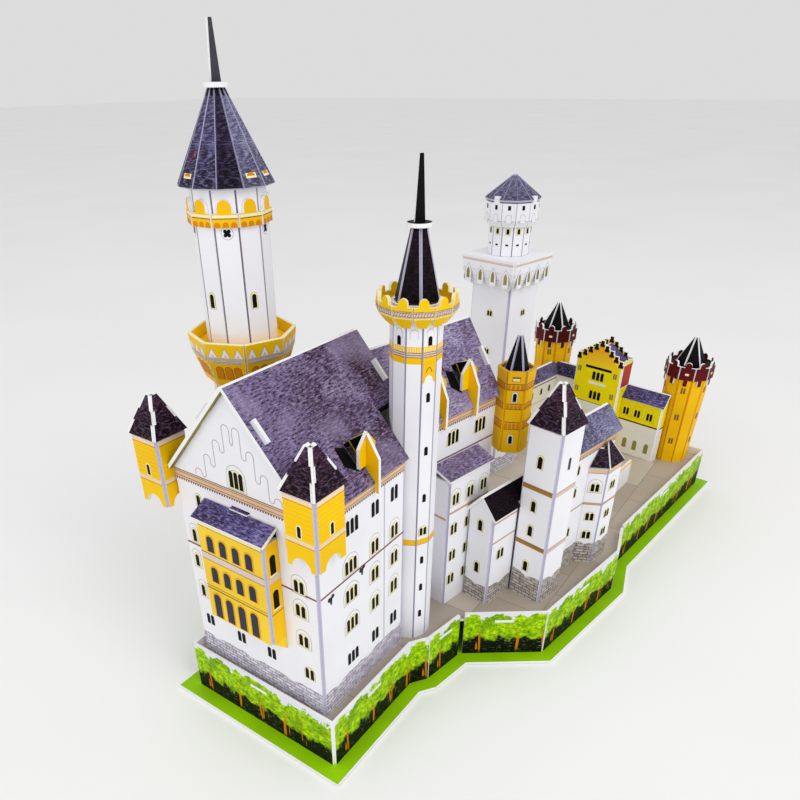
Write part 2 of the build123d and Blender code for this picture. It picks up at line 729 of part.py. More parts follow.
def hipped_roof(site, corners, rise, top):
    """Steep roof of four boards whose edges finger past each other along the hips."""
    low = [Vector(*corner) for corner in corners]
    centre = sum(low, Vector(0, 0)) / 4
    head = [centre + (corner - centre).normalized() * top for corner in low]
    shares = [0.0, 0.36, 0.36, 0.66, 0.66, 1.0]
    swings = [-1, -1, 1, 1, -1, -1]
    sides = []
    for i in range(4):
        j = (i + 1) % 4
        along = (low[j] - low[i]).normalized()
        swing = HIP_FINGER / 2 if i % 2 else -HIP_FINGER / 2
        rising, falling = [], []
        for share, side in zip(shares, swings):
            reach = along * swing * side * (1 - 0.5 * share)
            right = low[j] + (head[j] - low[j]) * share + reach
            left = low[i] + (head[i] - low[i]) * share - reach
            rising.append((right.X, right.Y, rise * share))
            falling.append((left.X, left.Y, rise * share))
        sides.append(board(site, [falling[0]] + rising + falling[:0:-1]))
    return sides


# Corner turrets of the west hall
SOUTH_TURRET = [
    (-FIT, SOUTH_TURRET_NORTH), (-TURRET_OUT, SOUTH_TURRET_NORTH), (-TURRET_OUT, -TURRET_OUT),
    (SOUTH_TURRET_EAST, -TURRET_OUT), (SOUTH_TURRET_EAST, -FIT),
]
with BuildPart() as south_turret_walls:
    extrude(sheet_section(HALL.offset(TURRET_BOTTOM), SOUTH_TURRET, False), amount=TURRET_TOP - TURRET_BOTTOM)
    add(foot_arches(HALL, SOUTH_TURRET, TURRET_BOTTOM, TURRET_ARCH), mode=Mode.SUBTRACT)
save(south_turret_walls, "south_turret_walls")

NORTH_TURRET = rectangle(
    -TURRET_OUT, HALL_WIDTH + FIT, NORTH_TURRET_EAST, HALL_WIDTH + FIT + NORTH_TURRET_DEPTH)
with BuildPart() as north_turret_walls:
    extrude(sheet_section(HALL.offset(TURRET_BOTTOM), NORTH_TURRET), amount=TURRET_TOP - TURRET_BOTTOM)
    add(foot_arches(HALL, NORTH_TURRET + NORTH_TURRET[:1], TURRET_BOTTOM, TURRET_ARCH), mode=Mode.SUBTRACT)
save(north_turret_walls, "north_turret_walls")

turret_seat = HALL.offset(TURRET_TOP + FIT + PLY)
with BuildPart() as south_turret_roof:
    add(hipped_roof(turret_seat, rectangle(
        -TURRET_OUT + PLY, -TURRET_OUT + PLY, SOUTH_TURRET_EAST - PLY, SOUTH_TURRET_NORTH - PLY),
        TURRET_ROOF_RISE, TURRET_ROOF_TOP))
save(south_turret_roof, "south_turret_roof")
with BuildPart() as north_turret_roof:
    add(hipped_roof(turret_seat, rectangle(
        -TURRET_OUT + PLY, HALL_WIDTH + FIT + PLY, NORTH_TURRET_EAST - PLY,
        HALL_WIDTH + FIT + NORTH_TURRET_DEPTH - PLY), TURRET_ROOF_RISE, TURRET_ROOF_TOP))
save(north_turret_roof, "north_turret_roof")


def crown_ring(site, radius, sides, foot, height, merlon, pendant=None):
    """Ring of boards with a faceted round merlon on each and, if given, a pendant under each."""
    outline = polygon_round(radius, sides)
    panels = []
    for start, end in zip(outline, outline[1:] + outline[:1]):
        width = (Vector(*end) - Vector(*start)).length
        with BuildSketch(panel_plane(site, start, end, foot).offset(-PLY)) as face:
            with Locations((width / 2, 0)):
                Rectangle(width, height, align=(Align.CENTER, Align.MIN))
            with Locations((width / 2, height)):
                Rectangle(merlon[0], merlon[1] - merlon[0] / 2, align=(Align.CENTER, Align.MIN))
            with Locations((width / 2, height + merlon[1] - merlon[0] / 2)):
                RegularPolygon(merlon[0] / 2, HEAD_FACETS)
            if pendant:
                with Locations((width / 2, 0)):
                    Rectangle(pendant[0], pendant[1], align=(Align.CENTER, Align.MAX))
        panels.append(extrude(face.sketch, amount=BOARD, mode=Mode.PRIVATE))
    return panels


def tip(site, height, turn):
    """Round disc with one tapering upright board on it."""
    with BuildSketch(site) as disc:
        Circle(DISC_RADIUS)
    half = SPIRE_WIDTH / 2
    upright = cross_board(within(site, 0, 0, 0, turn), -BOARD / 2, [
        (-half, BOARD), (half, BOARD), (SPIRE_TIP / 2, height), (-SPIRE_TIP / 2, height)])
    return [extrude(disc.sketch, amount=BOARD, mode=Mode.PRIVATE), upright]


# Tall tower
TALL = spot(TALL_X, TALL_Y, 0, TALL_TURN)
tall_outline = polygon_round(TALL_RADIUS, TALL_SIDES)
tall_face = TALL_RADIUS * cos(pi / TALL_SIDES) + FOAM
with BuildPart() as tall_tower_shaft:
    add(tapered_panels(TALL, [(0, tall_outline), (TALL_HEIGHT, tall_outline)]))
save(tall_tower_shaft, "tall_tower_shaft")
with BuildPart() as tall_tower_crown:
    tall_crown_radius = (tall_face + FIT / 2 + PLY) / cos(pi / TALL_SIDES)
    add(crown_ring(TALL, tall_crown_radius, TALL_SIDES, TALL_HEIGHT - TALL_CROWN_DROP, TALL_CROWN_HEIGHT,
                   TALL_MERLON))
save(tall_tower_crown, "tall_tower_crown")
BALCONY = spot(TALL_X, TALL_Y, HALL_RIDGE - BALCONY_DROP, BALCONY_TURN)
balcony_floor = BALCONY_TAPER + BALCONY_FLOOR_LIFT
balcony_rim = BALCONY_TAPER + BALCONY_BAND
with BuildPart() as tall_tower_balcony:
    balcony_foot_radius = (TALL_RADIUS + FOAM + FIT + PLY) / cos(pi / 8)
    add(tapered_panels(BALCONY, [
        (0, polygon_round(balcony_foot_radius)), (BALCONY_TAPER, polygon_round(BALCONY_BAND_RADIUS)),
        (balcony_rim, polygon_round(BALCONY_RADIUS))]))
save(tall_tower_balcony, "tall_tower_balcony")
with BuildPart() as tall_tower_balcony_floor:
    with BuildSketch(BALCONY.offset(balcony_floor)):
        Polygon(*polygon_round(BALCONY_BAND_RADIUS - PLY - FIT), align=None)
    extrude(amount=BOARD)
    add(block(TALL, polygon_round(TALL_RADIUS + BOARD, TALL_SIDES), 0, TALL_HEIGHT), mode=Mode.SUBTRACT)
save(tall_tower_balcony_floor, "tall_tower_balcony_floor")
TALL_CONE = spot(TALL_X, TALL_Y, TALL_HEIGHT - TALL_CONE_SINK, TALL_CONE_TURN)
with BuildPart() as tall_tower_cone:
    add(tapered_panels(TALL_CONE, [
        (0, polygon_round(TALL_CONE_RADIUS, 12)), (TALL_CONE_HEIGHT, polygon_round(CONE_TIP_RADIUS, 12))]))
save(tall_tower_cone, "tall_tower_cone")
with BuildPart() as tall_tower_finial:
    add(tip(TALL_CONE.offset(TALL_CONE_HEIGHT + TALL_TIP_LIFT), TALL_SPIRE, TALL_SPIRE_TURN))
save(tall_tower_finial, "tall_tower_finial")

# Stair tower
STAIR = spot(STAIR_X, STAIR_Y, 0, STAIR_TURN)
stair_outline = polygon_round(STAIR_RADIUS, 10)
with BuildPart() as stair_tower_shaft:
    add(tapered_panels(STAIR, [(0, stair_outline), (STAIR_HEIGHT, stair_outline)]))
save(stair_tower_shaft, "stair_tower_shaft")
STAIR_CROWN = spot(STAIR_X, STAIR_Y, STAIR_HEIGHT - STAIR_CROWN_DROP, STAIR_CROWN_TURN)
with BuildPart() as stair_tower_crown:
    crown_edge = polygon_round(STAIR_CROWN_RADIUS, 12)
    crown_foot = polygon_round((STAIR_RADIUS + FOAM + FIT + PLY) / cos(pi / 12), 12)
    add(crown_ring(STAIR_CROWN, STAIR_CROWN_RADIUS, 12, STAIR_PETAL, STAIR_CROWN_HEIGHT, STAIR_MERLON))
    for i in range(12):
        outer_a, outer_b = Vector(*crown_edge[i]), Vector(*crown_edge[(i + 1) % 12])
        inner_a, inner_b = Vector(*crown_foot[i]), Vector(*crown_foot[(i + 1) % 12])
        inset = (inner_b - inner_a) * STAIR_PETAL_INSET
        petal_a, petal_b = inner_a + inset, inner_b - inset
        add(board(STAIR_CROWN, [
            (petal_a.X, petal_a.Y, 0), (petal_b.X, petal_b.Y, 0),
            (outer_b.X, outer_b.Y, STAIR_PETAL), (outer_a.X, outer_a.Y, STAIR_PETAL)]))
save(stair_tower_crown, "stair_tower_crown")
STAIR_CONE = spot(STAIR_X, STAIR_Y, STAIR_HEIGHT + STAIR_CONE_LIFT, STAIR_CONE_TURN)
with BuildPart() as stair_tower_cone:
    add(tapered_panels(STAIR_CONE, [
        (0, polygon_round(STAIR_CONE_RADIUS, 6)), (STAIR_CONE_HEIGHT, polygon_round(CONE_TIP_RADIUS, 6))]))
save(stair_tower_cone, "stair_tower_cone")
with BuildPart() as stair_tower_finial:
    add(tip(STAIR_CONE.offset(STAIR_CONE_HEIGHT + STAIR_TIP_LIFT), STAIR_SPIRE, STAIR_SPIRE_TURN))
save(stair_tower_finial, "stair_tower_finial")

# Lean-to annex
with BuildPart() as lean_to_walls:
    extrude(sheet_section(EAST, [
        (LEAN_X, -FIT), (LEAN_X, -LEAN_DEPTH), (LEAN_X + LEAN_LENGTH, -LEAN_DEPTH),
        (LEAN_X + LEAN_LENGTH, -FIT)], False), amount=LEAN_TOP)
save(lean_to_walls, "lean_to_walls")
with BuildPart() as lean_to_roof:
    lean_west, lean_east = LEAN_X - SMALL_VERGE, LEAN_X + LEAN_LENGTH + SMALL_VERGE
    lean_eave, lean_seat = LEAN_TOP + PLY, LEAN_TOP + LEAN_ROOF_RISE
    add(board(EAST, [
        (lean_west, -LEAN_DEPTH - SMALL_VERGE, lean_eave), (lean_east, -LEAN_DEPTH - SMALL_VERGE, lean_eave),
        (lean_east, -FIT - PLY, lean_seat), (lean_west, -FIT - PLY, lean_seat)]))
save(lean_to_roof, "lean_to_roof")

# Gabled annex, open where the square tower stands against it
gabled_north = -LEAN_DEPTH - FIT
gabled_ridge = GABLED_EAVE + GABLED_RISE
gabled_roof = GableRoof(
    -GABLED_FRONT - SMALL_VERGE, GABLED_EAVE + PLY, GABLED_FRONT + gabled_north + SMALL_VERGE, gabled_ridge)
tower_clearing = block(EAST, rectangle(
    FRONT_X - FIT, -FRONT_FRONT - FRONT_SIDE, FRONT_X + 2 * FRONT_SIDE, -FRONT_FRONT + FRONT_SIDE + FIT),
    0, FRONT_HEIGHT)
with BuildPart() as gabled_annex_walls:
    extrude(sheet_section(EAST, [
        (GABLED_END, -FRONT_FRONT + FRONT_SIDE + FIT), (GABLED_END, gabled_north), (GABLED_X, gabled_north),
        (GABLED_X, -GABLED_FRONT), (FRONT_X - FIT, -GABLED_FRONT)], False), amount=GABLED_EAVE)
    for gable_x in (GABLED_X, GABLED_END - BOARD):
        add(cross_board(EAST, gable_x, gable_profile(
            gabled_roof, -GABLED_FRONT + FOAM, gabled_north - FOAM, GABLED_EAVE - BOARD)))
    add(tower_clearing, mode=Mode.SUBTRACT)
save(gabled_annex_walls, "gabled_annex_walls")
with BuildPart() as gabled_annex_roof:
    add(gabled_roof.sheet(EAST, GABLED_X - SMALL_VERGE, GABLED_END + SMALL_VERGE))
    add(tower_clearing, mode=Mode.SUBTRACT)
    add(block(EAST, rectangle(0, gabled_north, GABLED_END + BOARD, 0), 0, FRONT_HEIGHT), mode=Mode.SUBTRACT)
save(gabled_annex_roof, "gabled_annex_roof")

# Square front tower
FRONT_OUTLINE = rectangle(FRONT_X, -FRONT_FRONT, FRONT_X + FRONT_SIDE, -FRONT_FRONT + FRONT_SIDE)
with BuildPart() as front_tower_walls:
    extrude(sheet_section(EAST, FRONT_OUTLINE), amount=FRONT_HEIGHT)
save(front_tower_walls, "front_tower_walls")
with BuildPart() as front_tower_roof:
    add(hipped_roof(EAST.offset(FRONT_HEIGHT + FIT + PLY), rectangle(
        FRONT_X + PLY, -FRONT_FRONT + PLY, FRONT_X + FRONT_SIDE - PLY, -FRONT_FRONT + FRONT_SIDE - PLY),
        FRONT_ROOF_RISE, TURRET_ROOF_TOP))
save(front_tower_roof, "front_tower_roof")

# Small south hall
SOUTH_START = FRONT_X + FRONT_SIDE + FIT
SOUTH_END = SOUTH_START + SOUTH_LENGTH
SOUTH_BACK = -SOUTH_FRONT + SOUTH_WIDTH
south_roof = GableRoof(
    -SOUTH_FRONT - SOUTH_EAVE_OUT, SOUTH_EAVE + FIT, SOUTH_WIDTH + 2 * SOUTH_EAVE_OUT, SOUTH_EAVE + SOUTH_RISE)
with BuildPart() as south_hall_walls:
    extrude(sheet_section(EAST, [
        (SOUTH_START, -SOUTH_FRONT), (SOUTH_END, -SOUTH_FRONT), (SOUTH_END, SOUTH_BACK),
        (SOUTH_START, SOUTH_BACK)], False), amount=SOUTH_EAVE)
    add(cross_board(EAST, SOUTH_END - BOARD, gable_profile(
        south_roof, -SOUTH_FRONT + FOAM, SOUTH_BACK - FOAM, SOUTH_EAVE - BOARD)))
    add(block(EAST, rectangle(FRONT_X, -FRONT_FRONT, GABLED_END + BOARD, 0), 0, gabled_ridge + BOARD),
        mode=Mode.SUBTRACT)
save(south_hall_walls, "south_hall_walls")
with BuildPart() as south_hall_roof:
    add(south_roof.sheet(EAST, SOUTH_START, SOUTH_END + BOARD))
save(south_hall_roof, "south_hall_roof")

# Bay of the small hall
BAY_LINE = [
    (BAY_X, -SOUTH_FRONT - FIT), (BAY_X + BAY_SLANT, -BAY_FRONT), (BAY_X + BAY_SLANT + BAY_FACE, -BAY_FRONT),
    (BAY_X + 2 * BAY_SLANT + BAY_FACE, -SOUTH_FRONT - FIT),
]
bay_clearing = block(
    EAST, rectangle(SOUTH_START, -SOUTH_FRONT - FIT, SOUTH_END + BAY_FACE, 0), 0, HALL_RIDGE)
with BuildPart() as bay_walls:
    extrude(sheet_section(EAST, BAY_LINE, False), amount=BAY_TOP)
    add(bay_clearing, mode=Mode.SUBTRACT)
save(bay_walls, "bay_walls")
with BuildPart() as bay_roof:
    bay_peak = (BAY_X + BAY_SLANT + BAY_FACE / 2, -SOUTH_FRONT, BAY_TOP + BAY_ROOF_RISE)
    for low_a, low_b in zip(BAY_LINE, BAY_LINE[1:]):
        add(board(EAST, [(*low_a, BAY_TOP + PLY + FIT), (*low_b, BAY_TOP + PLY + FIT), bay_peak]))
    add(bay_clearing, mode=Mode.SUBTRACT)
    add(block(EAST, rectangle(SOUTH_START, -SOUTH_FRONT - SOUTH_EAVE_OUT - FOAM, SOUTH_END + BAY_FACE, 0),
              SOUTH_EAVE - 3 * BOARD, HALL_RIDGE), mode=Mode.SUBTRACT)
save(bay_roof, "bay_roof")

# Hanging turret with its open rim
hanging_rim = HANGING_FLARE + HANGING_RIM_HEIGHT
with BuildPart() as hanging_turret_walls:
    hanging_outline = polygon_round(HANGING_RADIUS, 6)
    add(tapered_panels(HANGING, [
        (HANGING_FOOT, hanging_outline), (HANGING_FLARE, hanging_outline),
        (hanging_rim, polygon_round(HANGING_RIM_RADIUS, 6))]))
save(hanging_turret_walls, "hanging_turret_walls")
with BuildPart() as hanging_turret_cone:
    with BuildSketch(HANGING.offset(hanging_rim - 2 * BOARD)):
        Polygon(*polygon_round(HANGING_RADIUS - PLY - FIT, 6), align=None)
    extrude(amount=BOARD)
    add(tapered_panels(HANGING.offset(hanging_rim - BOARD - FIT), [
        (0, polygon_round(HANGING_CONE_RADIUS, 6)), (HANGING_CONE_RISE, polygon_round(PLY, 6))]))
save(hanging_turret_cone, "hanging_turret_cone")

# White square tower
WHITE = spot(WHITE_X, WHITE_Y, 0, WHITE_TURN)
WHITE_MIDDLE = within(WHITE, WHITE_SIDE / 2, WHITE_SIDE / 2)
gallery_top = WHITE_SHAFT + GALLERY_HEIGHT
drum_top = gallery_top + DRUM_HEIGHT
ring_foot = drum_top - RING_DROP
ring_edge = ring_foot + RING_FLARE
ring_top = ring_edge + RING_HEIGHT
with BuildPart() as white_tower_shaft:
    extrude(sheet_section(WHITE, rectangle(0, 0, WHITE_SIDE, WHITE_SIDE)), amount=WHITE_SHAFT)
save(white_tower_shaft, "white_tower_shaft")


def square(side):
    """Corners of a square round the middle of the white tower."""
    return rectangle(-side / 2, -side / 2, side / 2, side / 2)


# Gallery with curved flare, drum, crown ring and roof of the white tower
with BuildPart() as white_tower_gallery:
    gallery_inner = GALLERY_SIDE - 2 * FOAM
    add(tapered_panels(WHITE_MIDDLE, [(WHITE_SHAFT + up, square(side)) for up, side in GALLERY_CURVE]
                       + [(gallery_top, square(gallery_inner))]))
    with BuildSketch(WHITE_MIDDLE.offset(gallery_top - BOARD)):
        Polygon(*square(gallery_inner), align=None)
    extrude(amount=BOARD)
save(white_tower_gallery, "white_tower_gallery")
with BuildPart() as white_tower_drum:
    drum_outline = polygon_round(DRUM_RADIUS, DRUM_SIDES)
    add(tapered_panels(WHITE_MIDDLE, [(gallery_top + FIT, drum_outline), (drum_top, drum_outline)]))
save(white_tower_drum, "white_tower_drum")
with BuildPart() as white_tower_ring:
    ring_outline = polygon_round(RING_RADIUS, DRUM_SIDES)
    ring_inner = polygon_round(DRUM_RADIUS + BOARD + FIT, DRUM_SIDES)
    add(tapered_panels(WHITE_MIDDLE, [
        (ring_foot, ring_inner), (ring_edge, ring_outline), (ring_top, ring_outline)]))
    for start, end in zip(ring_outline[::3], ring_outline[1::3]):
        width = (Vector(*end) - Vector(*start)).length
        with BuildSketch(panel_plane(WHITE_MIDDLE, start, end, ring_top).offset(-PLY)):
            with Locations((width / 2, 0)):
                Rectangle(RING_TAB[0], RING_TAB[1], align=(Align.CENTER, Align.MIN))
        extrude(amount=BOARD)
save(white_tower_ring, "white_tower_ring")
with BuildPart() as white_tower_roof:
    add(tapered_panels(WHITE_MIDDLE, [
        (ring_top + WHITE_ROOF_LIFT, polygon_round(WHITE_ROOF_RADIUS, DRUM_SIDES)),
        (ring_top + WHITE_ROOF_RISE, polygon_round(PLY, DRUM_SIDES))]))
    for start, end in zip(ring_outline[::3], ring_outline[1::3]):
        width = (Vector(*end) - Vector(*start)).length
        with BuildSketch(panel_plane(WHITE_MIDDLE, start, end, ring_top - BOARD).offset(-PLY - FIT)):
            with Locations((width / 2, 0)):
                Rectangle(RING_TAB[0] + 2 * FIT, 5 * BOARD, align=(Align.CENTER, Align.MIN))
        extrude(amount=3 * BOARD, mode=Mode.SUBTRACT)
save(white_tower_roof, "white_tower_roof")

# Gatehouse block with two stepped gables and battlements along its sides
GATE = spot(GATE_X, GATE_Y, 0, GATE_TURN)
GATE_END = GATE_START + GATE_WIDTH


def stepped_gable():
    """Outline y, z of the stepped gable above the walls, a merlon on every step."""
    tread = GATE_WIDTH / (2 * GATE_STEPS + 1)
    profile = [(GATE_START + FOAM, GATE_EAVE - BOARD)]
    for k in range(GATE_STEPS + 1):
        height = GATE_EAVE + k * GATE_STEP
        left = max(GATE_START + k * tread, GATE_START + FOAM)
        middle = GATE_START + (k + 0.5) * tread
        raised = height + GATE_MERLON[1]
        profile += [(left, height), (middle - GATE_MERLON[0] / 2, height), (middle - GATE_MERLON[0] / 2, raised)]
        if k < GATE_STEPS:
            profile += [(middle + GATE_MERLON[0] / 2, raised), (middle + GATE_MERLON[0] / 2, height)]
    centre = GATE_START + GATE_WIDTH / 2
    return profile + [(2 * centre - y, z) for y, z in reversed(profile)]


with BuildPart() as gatehouse_walls:
    extrude(sheet_section(GATE, rectangle(0, GATE_START, GATE_DEPTH, GATE_END)), amount=GATE_EAVE)
    add(cross_board(GATE, 0, stepped_gable()))
    add(cross_board(GATE, GATE_DEPTH - BOARD, stepped_gable()))
    for side_y in (GATE_START, GATE_END - BOARD):
        for place in GATE_MERLON_PLACES:
            with Locations(within(GATE, GATE_DEPTH * place, side_y, GATE_EAVE)):
                Box(GATE_MERLON[0], BOARD, GATE_MERLON[1], align=(Align.CENTER, Align.MIN, Align.MIN))
save(gatehouse_walls, "gatehouse_walls")
gate_ridge = GATE_EAVE + GATE_ROOF_RISE
gate_roof = GableRoof(GATE_START + BOARD + FIT, GATE_EAVE - BOARD, GATE_WIDTH - 2 * BOARD - 2 * FIT, gate_ridge)
with BuildPart() as gatehouse_roof:
    add(gate_roof.sheet(GATE, BOARD + FIT, GATE_DEPTH - BOARD - FIT))
    add(block(GATE, rectangle(0, 0, GATE_DEPTH, GATE_START + BOARD + FIT), 0, gate_ridge), mode=Mode.SUBTRACT)
    add(block(GATE, rectangle(0, GATE_END - BOARD - FIT, GATE_DEPTH, GATE_END + BOARD), 0, gate_ridge),
        mode=Mode.SUBTRACT)
save(gatehouse_roof, "gatehouse_roof")


def gate_tower_clearing(place):
    """Cutter that keeps the wings clear of a gate tower."""
    return block(within(GATE, *place), polygon_round(GATE_TOWER_RADIUS + BOARD + FIT, GATE_TOWER_SIDES),
                 0, HALL_EAVE)


# South wing of the gatehouse, its ridge running north
WING = Plane(origin=GATE.origin, x_dir=GATE.y_dir, z_dir=(0, 0, 1))
wing_roof = GableRoof(
    -SOUTH_WING_X - SOUTH_WING_DEPTH - WING_EAVE_OUT, SOUTH_WING_EAVE + FIT,
    SOUTH_WING_DEPTH + 2 * WING_EAVE_OUT, SOUTH_WING_EAVE + SOUTH_WING_RISE)
south_wing_back = SOUTH_WING_X + SOUTH_WING_DEPTH
with BuildPart() as south_wing_walls:
    extrude(sheet_section(GATE, [
        (SOUTH_WING_X, GATE_START - FIT), (SOUTH_WING_X, SOUTH_WING_END), (south_wing_back, SOUTH_WING_END)],
        False), amount=SOUTH_WING_EAVE)
    add(cross_board(WING, SOUTH_WING_END, gable_profile(
        wing_roof, -south_wing_back + FOAM, -SOUTH_WING_X - FOAM, SOUTH_WING_EAVE - BOARD)))
    add(gate_tower_clearing(SOUTH_GATE_TOWER), mode=Mode.SUBTRACT)
save(south_wing_walls, "south_wing_walls")
with BuildPart() as south_wing_back_wall:
    extrude(sheet_section(GATE, [(south_wing_back, SOUTH_WING_END), (south_wing_back, GATE_START - FIT)], False),
            amount=SOUTH_WING_EAVE)
    add(gate_tower_clearing(SOUTH_GATE_TOWER), mode=Mode.SUBTRACT)
save(south_wing_back_wall, "south_wing_back_wall")
with BuildPart() as south_wing_roof:
    add(wing_roof.sheet(WING, SOUTH_WING_END - SMALL_VERGE, GATE_START - FIT))
    add(gate_tower_clearing(SOUTH_GATE_TOWER), mode=Mode.SUBTRACT)
save(south_wing_roof, "south_wing_roof")

# North wing, an angled range from the white tower to the gatehouse
north_wing_west = NORTH_WING_X - NORTH_WING_REACH
north_wing_back = NORTH_WING_Y + NORTH_WING_DEPTH
north_wing_east = NORTH_WING_X + NORTH_WING_DEPTH
with BuildPart() as north_wing_walls:
    extrude(sheet_section(GATE, [
        (NORTH_WING_X, north_wing_back), (north_wing_west, north_wing_back), (north_wing_west, NORTH_WING_Y),
        (NORTH_WING_X, NORTH_WING_Y), (NORTH_WING_X, GATE_END + FIT), (north_wing_east, GATE_END + FIT),
        (north_wing_east, NORTH_WING_Y)], False), amount=NORTH_WING_EAVE)
    add(gate_tower_clearing(NORTH_GATE_TOWER), mode=Mode.SUBTRACT)
save(north_wing_walls, "north_wing_walls")
with BuildPart() as north_wing_roof:
    wing_span = NORTH_WING_DEPTH + 2 * WING_EAVE_OUT
    wing_eave, wing_ridge = NORTH_WING_EAVE + FIT, NORTH_WING_EAVE + NORTH_WING_RISE
    long_roof = GableRoof(NORTH_WING_Y - WING_EAVE_OUT, wing_eave, wing_span, wing_ridge)
    short_roof = GableRoof(-north_wing_east - WING_EAVE_OUT, wing_eave, wing_span, wing_ridge)
    corner = Vector(NORTH_WING_X, NORTH_WING_Y)
    reach = NORTH_WING_REACH
    west_of_valley = [(corner.X - reach, corner.Y - reach), (corner.X + reach, corner.Y + reach),
                      (corner.X - reach, corner.Y + reach)]
    east_of_valley = [(corner.X - reach, corner.Y - reach), (corner.X + reach, corner.Y - reach),
                      (corner.X + reach, corner.Y + reach)]
    west_half = block(GATE, west_of_valley, 0, HALL_EAVE)
    east_half = block(GATE, east_of_valley, 0, HALL_EAVE)
    add([sheet & west_half for sheet in long_roof.sheet(GATE, north_wing_west, north_wing_east)])
    add([sheet & east_half for sheet in short_roof.sheet(WING, GATE_END + FIT, north_wing_back)])
    add(gate_tower_clearing(NORTH_GATE_TOWER), mode=Mode.SUBTRACT)
save(north_wing_roof, "north_wing_roof")

# Gate tower shafts, widening upwards
south_gate_site = within(GATE, *SOUTH_GATE_TOWER)
north_gate_site = within(GATE, *NORTH_GATE_TOWER)
gate_heights = (SOUTH_GATE_HEIGHT, NORTH_GATE_HEIGHT)
gate_sites = (south_gate_site, north_gate_site)
shaft_head = polygon_round(GATE_TOWER_RADIUS, GATE_TOWER_SIDES)
for site, height, label in zip(gate_sites, gate_heights, ("south_gate_tower_shaft", "north_gate_tower_shaft")):
    with BuildPart() as gate_tower_shaft:
        add(tapered_panels(site, [
            (0, polygon_round(GATE_TOWER_FOOT_RADIUS, GATE_TOWER_SIDES)),
            (height - GATE_CROWN_DROP - BOARD, shaft_head), (height, shaft_head)]))
        add(block(site, shaft_head, -BOARD, 0), mode=Mode.SUBTRACT)
    save(gate_tower_shaft, label)

# Crowns and cones of both gate towers
gate_crown_radius = GATE_TOWER_RADIUS + (FOAM + FIT / 2 + PLY) / cos(pi / GATE_TOWER_SIDES)
with BuildPart() as gate_tower_crowns:
    for site, height in zip(gate_sites, gate_heights):
        add(crown_ring(site, gate_crown_radius, GATE_TOWER_SIDES, height - GATE_CROWN_DROP, GATE_CROWN_HEIGHT,
                       GATE_MERLON_SIZE, GATE_PENDANT_SIZE))
save(gate_tower_crowns, "gate_tower_crowns")
with BuildPart() as gate_tower_cones:
    for site, height in zip(gate_sites, gate_heights):
        with BuildSketch(site.offset(height + FIT)):
            Polygon(*shaft_head, align=None)
        extrude(amount=BOARD)
        add(tapered_panels(site.offset(height + BOARD), [
            (0, polygon_round(GATE_CONE_RADIUS, 6)), (GATE_CONE_HEIGHT, polygon_round(PLY, 6))]))
save(gate_tower_cones, "gate_tower_cones")

# Low courtyard wall
with BuildPart() as terrace_wall:
    extrude(sheet_section(spot(0, 0), TERRACE_LINE, False), amount=TERRACE_HEIGHT)
save(terrace_wall, "terrace_wall")
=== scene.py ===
import json
from collections import Counter
from functools import cache
from itertools import product
from math import atan2, cos, degrees, pi, radians, sin

import bmesh
import bpy
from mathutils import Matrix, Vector

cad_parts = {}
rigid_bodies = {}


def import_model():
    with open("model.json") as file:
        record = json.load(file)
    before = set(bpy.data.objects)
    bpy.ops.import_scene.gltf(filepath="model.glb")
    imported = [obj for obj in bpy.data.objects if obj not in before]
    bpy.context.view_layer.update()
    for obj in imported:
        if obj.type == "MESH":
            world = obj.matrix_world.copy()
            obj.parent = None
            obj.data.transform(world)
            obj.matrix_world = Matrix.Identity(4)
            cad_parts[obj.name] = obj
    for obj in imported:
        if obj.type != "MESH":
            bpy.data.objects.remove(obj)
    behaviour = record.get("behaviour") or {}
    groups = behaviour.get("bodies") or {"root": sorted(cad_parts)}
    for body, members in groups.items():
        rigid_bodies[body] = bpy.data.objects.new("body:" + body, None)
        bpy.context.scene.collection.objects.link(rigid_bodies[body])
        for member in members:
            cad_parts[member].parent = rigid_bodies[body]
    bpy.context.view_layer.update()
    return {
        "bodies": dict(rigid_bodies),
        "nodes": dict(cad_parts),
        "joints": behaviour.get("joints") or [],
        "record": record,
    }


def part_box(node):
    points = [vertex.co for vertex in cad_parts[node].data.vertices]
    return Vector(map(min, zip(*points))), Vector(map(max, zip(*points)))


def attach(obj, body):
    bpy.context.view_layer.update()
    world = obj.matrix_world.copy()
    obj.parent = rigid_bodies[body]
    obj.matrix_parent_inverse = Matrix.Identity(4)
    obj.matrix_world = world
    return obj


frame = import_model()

# Sizes here are millimetres; MM turns them into the frame's metres
MM = 0.001
UP = Vector((0, 0, 1))
SOUTH, WEST, NORTH = Vector((0, -1, 0)), Vector((-1, 0, 0)), Vector((0, 1, 0))
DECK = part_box("deck")[1][2] / MM

# Plan position of the frame's origin, and of the two turned groups with their turns in degrees
PLAN_X, PLAN_Y = 235.78, 14.51
EAST_PLAN, EAST_TURN = (109.0, 14.4), 10.5
GATE_PLAN, GATE_TURN = (416.0, -33.0), 9.5

# An outward fold leaves a groove, so a printed face starts this far from the corner
FOLD = 1.6

# Faces narrower than this are the foam's cut edges, and a fold is a tall one of them
NARROW = 2.2
FOLD_HEIGHT = 25.0

# Slants up to which a face counts as upright, and as a fold that may lean
UPRIGHT = 0.02
LEANING = 0.1

# Narrowest panel of a turret or crown that carries print
PANEL = 6.0

# Steps to a metre when corners are compared, and how flat and how large a face has to be
GRID = 20000
FLATNESS = 0.03 * MM
SPECK = 1e-12

# Print thickness, and how far it stands proud for each layer
SKIN = 0.03
LAYER = 0.05

# Units of the surface coordinates that the patterns are laid out in
PATTERN = 10.0

# Width and height of slates, stones and slabs in pattern units, and the scale of paper fibre
SLATE_SIZE = (0.26, 0.095)
STONE_SIZE = (0.6, 0.24)
SLAB_SIZE = (0.75, 0.55)
FIBRE = 1760.0

